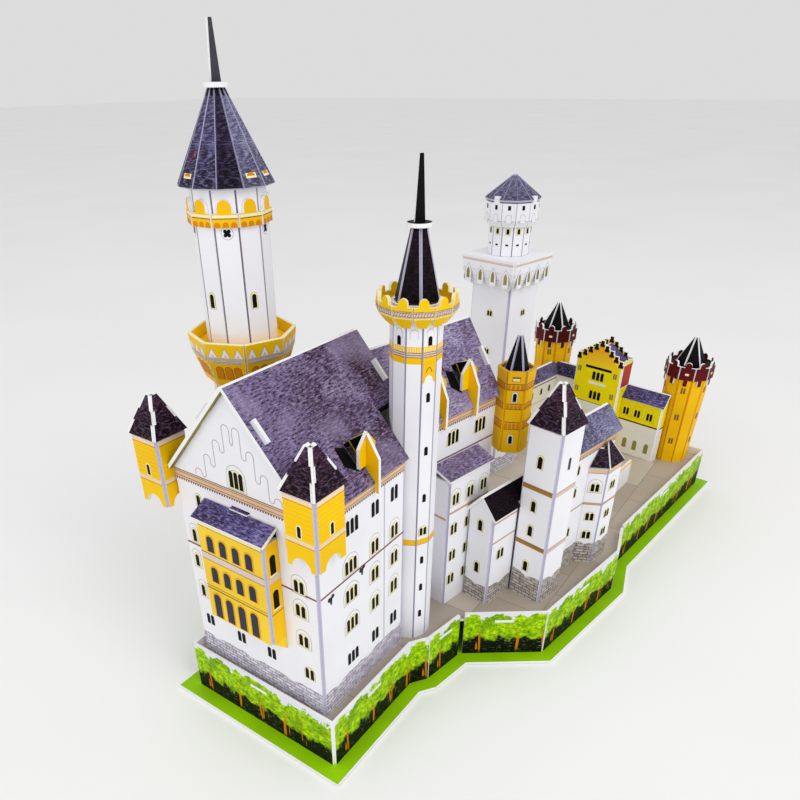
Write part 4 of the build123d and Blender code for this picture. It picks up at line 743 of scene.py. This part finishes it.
# Painted shade: the upright cut faces round the dormers' holes are black
for roof in ("west_hall_roof", "east_hall_roof"):
    repaint(roof, [face for face in broad(roof) if face.upright], BLACK)
dress("gabled_annex_roof", NIGHT, upward=True)
dress("south_turret_roof north_turret_roof front_tower_roof bay_roof", DARK_SLATE, upward=True)

# Cones and finials
# Grey-lilac foam on the hips of these cones, all but the gate towers', is painted shade
dress("tall_tower_cone", CONE_SLATE, edge=SHADED_LILAC_FOAM, upward=True)
# Painted shade on the cone's south-west panel and painted light on its two panels facing about south
shade_by_bearing("tall_tower_cone", [230], SHADED_CONE_SLATE)
shade_by_bearing("tall_tower_cone", [260, 290], PALE_SLATE)
dress("white_tower_roof", PALE_SLATE, edge=SHADED_LILAC_FOAM, upward=True)
dress("stair_tower_cone", NIGHT, edge=SHADED_LILAC_FOAM, upward=True)
dress("hanging_turret_cone", SOOTY_SLATE, edge=SHADED_LILAC_FOAM, upward=True)
dress("gate_tower_cones", SOOTY_SLATE, upward=True)
dress("tall_tower_finial", SPIRE, both=True)
dress("stair_tower_finial", BLACK, both=True)


# Print on the west hall

def gable_trim(pen, face):
    """Drawn row of round arches that steps down under both slopes of the west gable."""
    half, gap = 2.5, 1.6
    points = [(0.0, 161.5), (1.0, 163.0)]
    for i in range(4):
        crest, top = 3.5 + 8.2 * i, 172.0 - 10.5 * i
        points += [(crest - half * cos(pi * k / 8), top - half + half * sin(pi * k / 8)) for k in range(9)]
        if i < 3:
            low = max(top - 14.9, 138.2)
            points += [(crest + half + gap - gap * cos(pi * k / 6), low - gap * sin(pi * k / 6)) for k in range(7)]
    points.append((points[-1][0], 136.6))
    for side in (-1, 1):
        pen.line(face, [(face.middle - 0.5 + u, v) for u, v in mirrored(points, side)], 0.45, GREY)


def bird(pen, face, u, v):
    """Small dark figure perched on a wall."""
    pen.disc(face, u - 1.2, v + 0.6, 1.5, SLIT, 3, 8)
    pen.disc(face, u + 1.5, v + 1.7, 1.4, SLIT, 3, 8)
    pen.line(face, [(u - 0.6, v + 0.2), (u + 2.3, v + 2.4)], 1.8, SLIT, 4)
    pen.shape(face, [(u - 1.3, v + 0.2), (u - 0.4, v - 3.4), (u + 0.5, v - 3.2), (u + 1.0, v + 0.6)], SLIT, 4)


def west_hall(pen):
    gable, south, north = walls("west_hall_walls", WEST, SOUTH, NORTH)
    for face in (gable, south, north):
        pen.stones(face, 16.8, LILAC_STONE)
        pen.course(face, BROWN, 1.1, 86.3)
        pen.eave(face, 135.2 if face is gable else 134.0)
    gable_trim(pen, gable)
    # Painted shade: black field on the gable in the dark gap under the loggia roof
    low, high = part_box("loggia_roof")
    left, right = sorted(gable.flat(Vector((0, y, 0)))[0] for y in (low[1], high[1]))
    pen.box(gable, left + 1.6, 112.0, right - 1.6, high[2] / MM - DECK - 2.6, BLACK)
    pen.window(gable, 49.5, 141.8, 3, 2.5, 9.5, 3.4, arch=True)
    pen.windows(gable, ((17.3, 118.0), (82.5, 118.0), (90.5, 118.0)), 1, 2.6, 8.5)
    pen.windows(gable, ((8.8, 92.8), (7.5, 74.5), (8.2, 52.2)), 1, 2.6, 8.0, arch=True)
    pen.windows(gable, ((10.1, 30.0), (36.7, 29.1), (61.2, 29.5)), 2, 2.2, 7.4, 3.6, frame=False)
    pen.window(gable, 90.1, 29.3, 2, 2.2, 7.4, 3.6)
    pen.windows(gable, ((87.0, 90.4), (87.0, 74.2), (87.5, 53.0)), 2, 2.4, 7.6, 3.8, arch=True)
    for face, pairs in ((south, (50.0, 69.5)), (north, ())):
        for v, drawn in ((93.0, True), (73.8, True), (52.8, True), (27.4, False)):
            pen.window(face, 27.6, v, 3, 2.3, 8.2, 3.7, arch=drawn, frame=drawn)
            pen.windows(face, product(pairs, (v,)), 2, 2.4, 8.2, 3.8, arch=drawn, frame=drawn)
        pen.window(face, 29.7, 117.6, 3, 2.3, 8.8, 3.8, frame=False)
    pen.windows(south, ((50.5, 117.6), (69.0, 118.2)), 2, 2.4, 8.8, 3.9, frame=False)
    pen.box(south, 58.9, 17.0, 59.9, 128.0, LILAC)
    pen.box(south, 78.2, 17.0, 79.4, 128.0, LILAC)
    for u, v in ((37.7, 83.7), (9.8, 81.3)):
        bird(pen, south, u, v)


def dormer_sides(pen):
    """Dark side roof on each fin, behind the front."""
    for face in broad("dormer_fins"):
        if not face.upright or face.width < 10:
            continue
        corners = [face.flat(face.vertices[i]) for p in face.polygons for i in p.vertices]
        way = 1 if face.right.y > 0 else -1
        peak = max(v for u, v in corners)
        near = max(way * u for u, v in corners if v > peak - 0.3) + 0.2
        far, back = max((way * u, v) for u, v in corners)
        points = [(near, peak - 17.2), (far - 0.6, back + 0.5), (near, peak - 0.6)]
        pen.shape(face, mirrored(points, way), BLACK, 2)


def dormer_shadows(pen, roof, heading, marks, red):
    """Dark patch on the roof beside each dormer, with a red edge on the east hall, and painted shade on the inside of
    the far slope seen through the hole.
    """
    slope = max((f for f in broad(roof) if f.out.z > UPRIGHT and f.out.dot(heading) > 0.3), key=lambda f: f.width)
    for mark, foot in marks:
        u = slope.flat(mark)[0] - 6.0
        pen.shape(slope, [(u - 7.5, foot + 6.0), (u, foot - 0.5), (u, foot + 14.5), (u - 6.5, foot + 17.0)], BLACK)
        if red:
            pen.shape(slope, [(u - 8.5, foot + 17.0), (u - 6.3, foot + 16.5), (u - 9.0, foot + 24.0)], DEEP_RED, 2)
    # Painted shade: black on the inside of the far slope, seen through the dormer's hole
    for face in broad(roof):
        if face.out.z < -0.1 and face.out.y < -0.1 and face.width > 40:
            pen.box(face, face.left + 14.0, face.low + 4.0, face.end - 4.0, face.high - 3.0, BLACK)


def dormer(pen):
    """Dark side roofs behind the fronts and two grey marks on each front's peak."""
    dormer_sides(pen)
    dormer_shadows(pen, "west_hall_roof", SOUTH, [(plan(49.0, 0.0), 9.6)], False)
    dormer_shadows(pen, "east_hall_roof", EAST_SOUTH,
                   [(plan(x, 0.0, EAST_TURN, EAST_PLAN), 11.2) for x in (27.0, 57.0)], True)
    for face in broad("dormer_fronts"):
        if face.out.y < -0.9:
            for side in (-1, 1):
                points = mirrored([(1.3, -3.9), (3.2, -3.9), (1.3, -1.9)], side)
                pen.shape(face, [(face.middle + u, face.high + v) for u, v in points], GREY, 2)


def loggia(pen):
    front = wall("loggia_walls", WEST)
    pen.band(front, 91.8, 95.8, ROSE, 2)
    pen.band(front, 113.6, 115.9, CREAM, 2)
    pen.course(front, BROWN, 0.35, 96.1, 91.6, 113.4)
    pen.course(front, BROWN, 0.6, 71.2)
    pen.course(front, BROWN, 0.25, 73.0)
    for v, height, width, start in ((103.0, 10.4, 5.0, 9.7), (82.3, 10.4, 5.0, 9.8), (59.6, 17.0, 5.4, 8.6)):
        foot = v - height / 2
        for i in range(4):
            pen.arches(front, start + i * 9.5, 2, (foot - 0.3, width + 1.4, height + 1.2, DEEP_ORANGE),
                       (foot - 0.1, width + 0.8, height + 0.7, GOLD), (foot, width, height, SLIT))
    for cheek in walls("loggia_walls", SOUTH, NORTH):
        pen.band(cheek, 50.0, 116.0, ORANGE)
        pen.course(cheek, ROSE, 3.2, 93.5)
        pen.course(cheek, BROWN, 0.5, 71.0)
        for v in (103.0, 80.4):
            pen.box(cheek, 3.0, v - 7.4, 8.6, v - 6.2, CREAM, 2)
            pen.arch(cheek, 5.8, v - 6.2, 4.2, 12.0, BLACK, 3)


def corner_turret(pen):
    for face in panels("south_turret_walls") + panels("north_turret_walls"):
        side = face.standing(FOLD)
        pen.band(side, 126.2, 128.6, PALE_ORANGE, 2)
        pen.band(side, 149.6, 152.0, PALE_ORANGE, 2)
        pen.course(side, DEEP_ORANGE, 0.5, 125.9, 149.3)
        pen.course(side, GOLD, 0.14, *(131.0 + row * 2.6 for row in range(7)))
        pen.arches(side, side.middle, 3, (129.5, 3.6, 7.6, CREAM), (130.0, 2.2, 6.4, BLACK))


# Print on the slender towers

def four_leaf(pen, side, v):
    """Round opening of four leaves in a drawn ring."""
    pen.disc(side, side.middle, v, 3.2, LILAC, 2)
    pen.disc(side, side.middle, v, 2.9, WHITE, 3)
    pen.disc(side, side.middle, v, 1.0, BLACK, 4, 8)
    for turn in (pi * (a + 0.5) / 2 for a in range(4)):
        pen.disc(side, side.middle + 1.3 * cos(turn), v + 1.3 * sin(turn), 1.0, BLACK, 4, 8)


def balcony_print(pen):
    """Arches on the flare of the balcony and pointed fields on its wall."""
    tiers = [f for f in faces("tall_tower_balcony") if f.out.z < 0.1 and f.width > 8]
    split = (max(f.centre.z for f in tiers) + min(f.centre.z for f in tiers)) / 2
    for face in tiers:
        low, high = face.low, face.high
        if face.centre.z < split:
            pen.patch(face, face.width * 0.40, high - 1.6, high - 0.2, GREY)
            for k in (-1, 0, 1):
                pen.arches(face, face.middle + k * face.width * 0.25, 2, (high - 12.4, 4.4, 8.8, BROWN),
                           (high - 12.4, 3.8, 8.5, DEEP_ORANGE))
            continue
        pen.box(face, face.left + 0.3, low + 1.4, face.end - 0.3, high - 0.1, YELLOW)
        pen.box(face, face.left + 0.3, low + 0.2, face.end - 0.3, low + 1.6, GREY, 2)
        for u in face.spread(3):
            for half, foot, tip, material, layer in (
                    (2.9, 1.8, 1.6, TAN, 2), (2.4, 1.9, 2.5, WHITE, 3), (0.9, 2.2, 5.4, ROSE, 4)):
                pen.shape(face, [(u - half, low + foot), (u + half, low + foot), (u, high - tip)], material, layer)


def tall_tower(pen):
    shaft = around("tall_tower_shaft")
    for side in shaft:
        pen.band(side, 160.0, 197.0, SHAFT_FOOT)
    for side in shaft[::2]:
        pen.window(side, side.middle - 1.4, 214.0, 1, 2.4, 7.0)
    for side in shaft[1::2]:
        four_leaf(pen, side, 248.5)
    for side in around("tall_tower_crown"):
        pen.band(side, 255.9, 257.3, CREAM, 2)
        pen.course(side, BROWN, 0.35, 255.6)
        for u in side.spread(3):
            pen.arch(side, u, 251.4, 3.2, 2.6, DEEP_ORANGE, 2)
    balcony_print(pen)
    for side in around("tall_tower_cone", 0.1, 0.98):
        if side.width < 5:
            continue
        pen.patch(side, 0.6, side.high - 3.6, side.high - 0.2, BLACK)
        heading = round(bearing(side)) % 360
        if heading in (80, 170, 260, 290, 350):
            pen.patch(side, 3.0, 4.2, 6.6, CREAM)
            pen.arch(side, side.middle, 5.2, 4.6, 1.6, DEEP_ORANGE, 3, 0.3)
        if heading in (80, 170):
            spike = ((-0.7, 15.0), (0.5, 11.5), (1.2, 15.5), (0.4, 20.0))
            pen.shape(side, [(side.middle + u, v) for u, v in spike], DEEP_RED, 2)


def stair_tower(pen):
    for side in around("stair_tower_shaft"):
        turn = round((bearing(side) - STAIR_FRONT) / DECAGON)
        pen.band(side, 194.5, 197.6, YELLOW)
        for u in side.spread(6):
            pen.box(side, u - 0.2, 194.6, u + 0.2, 197.4, CREAM, 2)
        pen.band(side, 191.9, 194.5, ROSE)
        pen.course(side, BROWN, 0.35, 194.4, 193.2, 192.0)
        pen.band(side, 188.4, 191.8, ORANGE)
        pen.arches(side, side.middle, 1, (201.6, 4.4, 5.0, GREY), (201.4, 4.0, 4.9, WHITE))
        if turn % 5 == 0:
            left, middle, right = side.left, side.middle, side.end
            pen.shape(side, [(left, 177.4), (left + 1.2, 178.3), (left + 1.9, 180.8), (middle, 182.4),
                             (right - 1.9, 180.8), (right - 1.2, 178.3), (right, 177.4), (right, 188.6),
                             (left, 188.6)], ORANGE)
            pen.line(side, [(left + 2.2, 183.6), (left + 2.6, 185.2), (middle, 186.4), (right - 2.6, 185.2),
                            (right - 2.2, 183.6)], 0.4, BROWN)
            pen.windows(side, product((middle,), (169.5, 137.6, 107.0, 62.6, 41.4, 19.9)), 1, 1.9, 5.0, frame=False)
            pen.window(side, middle, 83.9, 2, 1.7, 5.0, 2.6)
        pen.band(side, 74.8, 78.6, GOLD)
        pen.course(side, TAN, 0.4, 74.6)
        if turn % 2 == 0:
            pen.window(side, side.middle, 200.3, 1, 2.0, 4.6, frame=False)
    for face in (f for f in faces("stair_tower_crown") if f.upright):
        low = face.low
        pen.band(face, low + 0.2, low + 2.8, ROSE, 2)
        for u in face.spread(7, 0.3):
            pen.line(face, [(u, low + 0.6), (u + 0.9, low + 1.9)], 0.25, BROWN, 3)
        pen.course(face, BROWN, 0.3, low + 0.4, low + 2.1, low + 2.7)


def hanging_turret(pen):
    for side in around("hanging_turret_walls"):
        if side.width < 5:
            continue
        windowed = round(bearing(side)) % 180 == 26
        flared = side.low < 50
        if flared and windowed:
            pen.patch(side, 2.6, 6.6, 9.6, DEEP_RED)
            pen.patch(side, 2.3, 6.8, 8.7, CREAM, 3)
        for low, high in (((0.6, 4.6),) if flared else ((127.1, 130.7), (112.6, 117.7))):
            pen.course(side, BROWN, 0.5, low, high)
            for u in side.spread(4):
                pen.arch(side, u, low + 0.4, 2.0, high - low - 1.0, DEEP_ORANGE, 2)
        for v in (135.3, 104.8):
            if side.low < v < side.high and windowed:
                pen.window(side, side.middle, v, 1, 2.2, 5.6, trim=WHITE)


# Print on the annexes

def east_hall(pen):
    south, north = walls("east_hall_walls", EAST_SOUTH, EAST_NORTH, left=0.0)
    east = wall("east_hall_walls", EAST_EAST)
    for face in (south, north, east):
        pen.eave(face, 134.0)
        pen.course(face, BROWN, 1.1, 106.0)
        pen.stones(face, 16.8, LILAC_STONE)
    columns, rows = (13.0, 39.3, 66.7), (78.0, 50.0, 27.0)
    for face in (south, north):
        pen.windows(face, product(columns, (118.5,)), 3, 2.4, 8.8, 3.8)
    pen.windows(north, product(columns, rows), 2, 2.4, 8.0, 3.8, arch=True)
    columns = (15.0, 30.5, 46.0)
    pen.windows(east, product(columns, (118.5,)), 2, 2.4, 8.0, 3.8)
    pen.windows(east, product(columns, rows), 2, 2.4, 8.0, 3.8, arch=True)
    pen.window(east, east.middle, 146.0, 3, 2.4, 9.0, 3.6, arch=True)


def small_annexes(pen):
    """Print on the lean-to and the gabled annex."""
    front = wall("lean_to_walls", EAST_SOUTH)
    pen.course(front, TAN, 1.6, 74.4)
    columns = (6.8, 21.5, 35.4)
    pen.windows(front, product(columns, (84.0,)), 2, 2.1, 7.4, 3.4, arch=True)
    pen.windows(front, product(columns, (61.0, 39.6, 19.6)), 2, 2.1, 7.4, 3.4)
    for side in walls("lean_to_walls", EAST_WEST, EAST_EAST, left=0.0):
        pen.course(side, TAN, 1.6, 70.0)
    west, south = walls("gabled_annex_walls", EAST_WEST, EAST_SOUTH)
    pen.windows(west, ((10.8, 62.2), (10.8, 27.9)), 1, 3.0, 7.8)
    pen.course(south, TAN, 1.2, 66.5, 50.9)
    pen.window(south, 11.3, 39.1, 2, 2.4, 7.0, 3.8)
    for face in (west, south):
        pen.stones(face, 14.5, BUFF_STONE)


def front_tower(pen):
    for heading in EAST_SIDES:
        face = wall("front_tower_walls", heading)
        faint = heading is EAST_SOUTH
        for v in (88.0, 44.5):
            pen.band(face, v - 1.5, v + 1.5, ROSE if faint else OCHRE, 2)
            pen.course(face, TAN if faint else BROWN, 0.4, v - 1.5, v + 0.5, v + 1.5)
        if faint:
            pen.window(face, 12.0, 107.3, 1, 2.2, 8.2, pane=SLIT, frame=False)
        else:
            pen.window(face, 12.0, 107.3, 1, 3.1, 8.2)
        pen.stones(face, 20.0, BUFF_STONE, ragged=2.2)
    pen.windows(wall("front_tower_walls", EAST_WEST), product((11.5,), (74.7, 55.5, 26.5)), 1, 3.0, 7.6)


def south_hall(pen):
    """Print on the south hall, its bay and the terrace wall."""
    hall, back = walls("south_hall_walls", EAST_SOUTH, EAST_NORTH, left=0.0)
    for face in (hall, back, wall("south_hall_walls", EAST_EAST)):
        pen.stones(face, 17.0, BUFF_STONE)
        pen.course(face, TAN, 1.2, 51.4)
        pen.eave(face, 98.0)
    for face in (hall, back):
        pen.windows(face, product((8.0, 22.0, 62.0), (84.0, 66.0, 33.0)), 1, 2.3, 6.6)
    for face in panels("bay_walls"):
        side = face.standing(FOLD)
        pen.course(side, TAN, 2.0, 51.6)
        pen.band(side, 76.9, 79.6, PEACH, 2)
        pen.course(side, BROWN, 0.3, 76.6)
        pen.window(side, side.middle, 65.0, 2, 2.2, 5.8, 3.2, arch=True)
        pen.windows(side, product((side.middle,), (40.6, 24.6)), 2, 2.2, 5.8, 3.2)
        pen.stones(side, 17.6, BUFF_STONE)
    terrace = wall("terrace_wall", SOUTH, 0.0)
    pen.band(terrace, terrace.high - 2.0, terrace.high - 0.1, YELLOW, 2)


def annex(pen):
    for part in (east_hall, small_annexes, front_tower, south_hall):
        part(pen)


# Print on the white tower and the gatehouse

def white_tower(pen):
    for shaft in walls("white_tower_shaft", *EAST_SIDES):
        pen.windows(shaft, product((20.6,), (145.8, 113.2, 80.0, 47.0)), 2, 1.8, 4.0, 2.6)
        pen.stones(shaft, 14.0, LILAC_STONE)
    for gallery in walls("white_tower_gallery", *EAST_SIDES):
        pen.band(gallery, 187.6, 188.9, ROSE, 2)
        pen.band(gallery, 187.3, 187.6, TAN, 2)
        for u in gallery.spread(4):
            pen.lancet(gallery, u, 170.0, 6.8, 14.6, LILAC, 2)
            pen.lancet(gallery, u, 170.0, 6.2, 13.9, WHITE, 3)
            pen.lancet(gallery, u, 173.0, 3.2, 8.6, KHAKI, 4)
    for side in around("white_tower_drum"):
        pen.window(side, side.middle, 209.8, 1, 2.0, 3.8)
        pen.patch(side, 1.1, 199.0, 200.3, BLACK)
    for face in panels("white_tower_ring"):
        side = face.standing()
        pen.patch(side, 1.1, 225.9, 229.1, BLACK)
        pen.arches(side, side.middle, 2, (216.6, 4.6, 6.4, LILAC), (216.6, 4.0, 6.0, WHITE))


def stepped_edge(pen, face):
    """Dark caps on the steps of a gable of the gatehouse."""
    steps, eave, rise = 4, 88.0, 3.8
    tread = 47.5 / (2 * steps + 1)
    for step in range(-steps, steps + 1):
        u, foot, half = face.middle + step * tread, eave + (steps - abs(step)) * rise, tread * 0.44
        pen.box(face, u - half, foot - 2.6, u + half, foot - 0.2, SOOT, 2)
        pen.box(face, u - 1.6, foot - 0.2, u + 1.6, foot + 2.9, SOOT, 2)
        pen.box(face, u - half, foot - 3.3, u + half, foot - 2.6, DEEP_ORANGE, 2)


def gatehouse(pen):
    for front in walls("gatehouse_walls", GATE_WEST, GATE_EAST):
        top = front.middle
        pen.shape(front, [(4.0, 78.0), (43.5, 78.0), (43.5, 84.0), (top + 6.0, 98.0), (top, 100.5),
                          (top - 6.0, 98.0), (4.0, 84.0)], GABLE_GLOW)
        pen.box(front, 6.5, 0.2, 41.0, 44.8, PALE_CREAM)
        pen.box(front, 6.5, 44.8, 41.0, 45.4, BROWN, 2)
        pen.box(front, 16.6, 63.6, 34.6, 65.8, WHITE, 2)
        pen.box(front, 11.5, 78.4, 38.0, 80.8, BLACK, 2)
        pen.windows(front, product((25.3,), (72.0, 53.0)), 3, 2.6, 7.8, 4.2, frame=False)
        pen.windows(front, product((5.5, 42.0), (76.0, 56.0)), 2, 1.1, 5.0, 2.0, frame=False, pane=KHAKI)
        pen.arches(front, 24.0, 2, (0.2, 15.0, 24.0, CREAM), (0.2, 11.5, 21.0, BROWN))
        stepped_edge(pen, front)
    west = wall("gatehouse_walls", GATE_WEST)
    for face in broad("gatehouse_walls"):
        inner = face.standing(FOLD)
        behind = (west.centre - face.centre).dot(GATE_WEST) > 5 * MM
        if behind and face.out.dot(GATE_WEST) > 0.95 and inner.high > 95:
            stepped_edge(pen, inner)
    for side in walls("gatehouse_walls", GATE_SOUTH, GATE_NORTH):
        pen.band(side, 66.0, 87.0, RED)
        pen.band(side, 64.8, 66.0, CREAM, 2)
    wing, end = walls("south_wing_walls", GATE_WEST, GATE_SOUTH, left=0.0)
    for face in (wing, end):
        pen.band(face, 0.1, 33.0, PALE_CREAM)
        pen.course(face, BURGUNDY, 1.3, 33.7)
    pen.windows(wing, product((5.8, 17.0, 29.0), (42.8,)), 2, 2.0, 6.8, 3.1, frame=False, arch=True, ground=LEMON)
    for u in (10.2, 20.5, 32.0):
        pen.arches(wing, u, 2, (6.0, 4.2, 10.0, OLIVE), (6.4, 3.4, 9.2, KHAKI))
    back = wall("south_wing_back_wall", GATE_EAST, 0.0)
    pen.course(back, BROWN, 1.0, 33.5)
    pen.windows(back, ((8.0, 43.3), (31.0, 43.3)), 2, 1.9, 6.4, 3.0, trim=WHITE)


def north_wing(pen):
    for heading in (GATE_SOUTH, GATE_NORTH):
        outer = [f for f in broad("north_wing_walls")
                 if f.upright and f.out.dot(heading) > 0.9 and (f.centre - WING_ARMS[0]).dot(f.out) > 0]
        side = max(outer, key=lambda f: f.width).standing(FOLD)
        columns = (8.0, 22.5, 37.7, 53.3, 67.3)
        pen.windows(side, product(columns, (49.0,)), 1, 2.0, 5.0, trim=TAN)
        pen.windows(side, product(columns, (28.0,)), 1, 2.0, 6.0, trim=TAN)
        pen.course(side, BROWN, 1.0, 57.0)
        pen.course(side, TAN, 0.5, 39.0)


def gate_tower(pen):
    for node, rise in (("south_gate_tower_shaft", 0.0), ("north_gate_tower_shaft", 8.5)):
        for side in around(node, -0.2, 0.2):
            if side.high - side.low < 30:
                continue
            turn = round((bearing(side) - GATE_FRONT) / DECAGON)
            for v, k in product((72.0, 46.0, 21.7) if turn % 2 == 0 else (), (-1, 1)):
                u, v = side.middle + k * 1.1, v + rise
                pen.box(side, u - 0.8, v - 2.8, u + 0.8, v + 2.8, OCHRE, 2)
                pen.box(side, u - 0.6, v - 2.5, u + 0.6, v + 2.5, BROWN, 3)
            for u in (side.left + 0.5, side.end - 0.5):
                pen.box(side, u - 0.15, side.low + 0.2, u + 0.15, side.high - 0.2, DEEP_ORANGE)
    for face in panels("gate_tower_crowns", GATE_TOWERS):
        if round((bearing(face) - GATE_FRONT) / DECAGON) % 2 == 0:
            pen.patch(face, 2.1, face.low + 9.4, face.low + 12.4, DEEP_RED)
            pen.patch(face, 1.5, face.low + 10.0, face.low + 11.8, CREAM, 3)
        pen.band(face, face.low + 5.8, face.low + 6.4, DEEP_RED, 2)


for building, board in (
        (west_hall, "white"), (dormer, "orange"), (loggia, "golden"), (corner_turret, "golden"),
        (tall_tower, "white"), (stair_tower, "white"), (hanging_turret, "golden"), (annex, "white"),
        (white_tower, "white"), (gatehouse, "yellow"), (north_wing, "white"), (gate_tower, "orange")):
    pen = Print(building.__name__ + "_print", board + "_board")
    building(pen)
    pen.finish()


# Floor, light and camera

def floor():
    sheet = bpy.data.meshes.new("floor")
    reach, level = 12, -0.0004
    sheet.from_pydata([(-reach, -reach, level), (reach, -reach, level), (reach, reach, level), (-reach, reach, level)],
                      [], [(0, 1, 2, 3)])
    piece = bpy.data.objects.new("floor", sheet)
    paint = Paint("floor_paper", 0.9)
    shade = paint.mask(paint.noise(paint.space(), 3.0, 2.0), (0.3, 0.93), (0.7, 0.96))
    sheet.materials.append(paint.finish(shade, paint.noise(paint.space(), 400.0), 0.02))
    bpy.context.scene.collection.objects.link(piece)


def lamp(name, place, energy, size):
    """Soft box that looks at the middle of the castle."""
    data = bpy.data.lights.new(name, "AREA")
    data.energy, data.size, data.shape = energy, size, "DISK"
    made = bpy.data.objects.new(name, data)
    made.location = place
    made.rotation_euler = (Vector((0, 0, 0.12)) - Vector(place)).to_track_quat("-Z", "Y").to_euler()
    bpy.context.scene.collection.objects.link(made)


def sky(strength):
    world = bpy.data.worlds.new("studio")
    world.use_nodes = True
    background = world.node_tree.nodes["Background"]
    background.inputs["Color"].default_value = (1, 1, 1, 1)
    background.inputs["Strength"].default_value = strength
    bpy.context.scene.world = world


CAMERA_PLACE = (-442.37, -196.15, 345.98)
CAMERA_TURN = (57.528, 0.729, -54.135)
CAMERA_LENS = 30.944
CAMERA_SHIFT = (0.0449, 0.1428)


def camera():
    made = bpy.data.objects.new("camera", bpy.data.cameras.new("camera"))
    made.location = Vector(CAMERA_PLACE) * MM
    made.rotation_euler = [radians(angle) for angle in CAMERA_TURN]
    made.data.sensor_width = 36.0
    made.data.lens = CAMERA_LENS
    made.data.shift_x, made.data.shift_y = CAMERA_SHIFT
    made.data.clip_start = 0.01
    bpy.context.scene.collection.objects.link(made)
    bpy.context.scene.camera = made


bpy.context.scene.view_settings.view_transform = "Standard"
floor()
sky(0.72)
lamp("key", (-0.5, -1.6, 1.6), 13.0, 1.2)
lamp("fill", (-2.6, 0.6, 1.6), 13.0, 2.0)
camera()
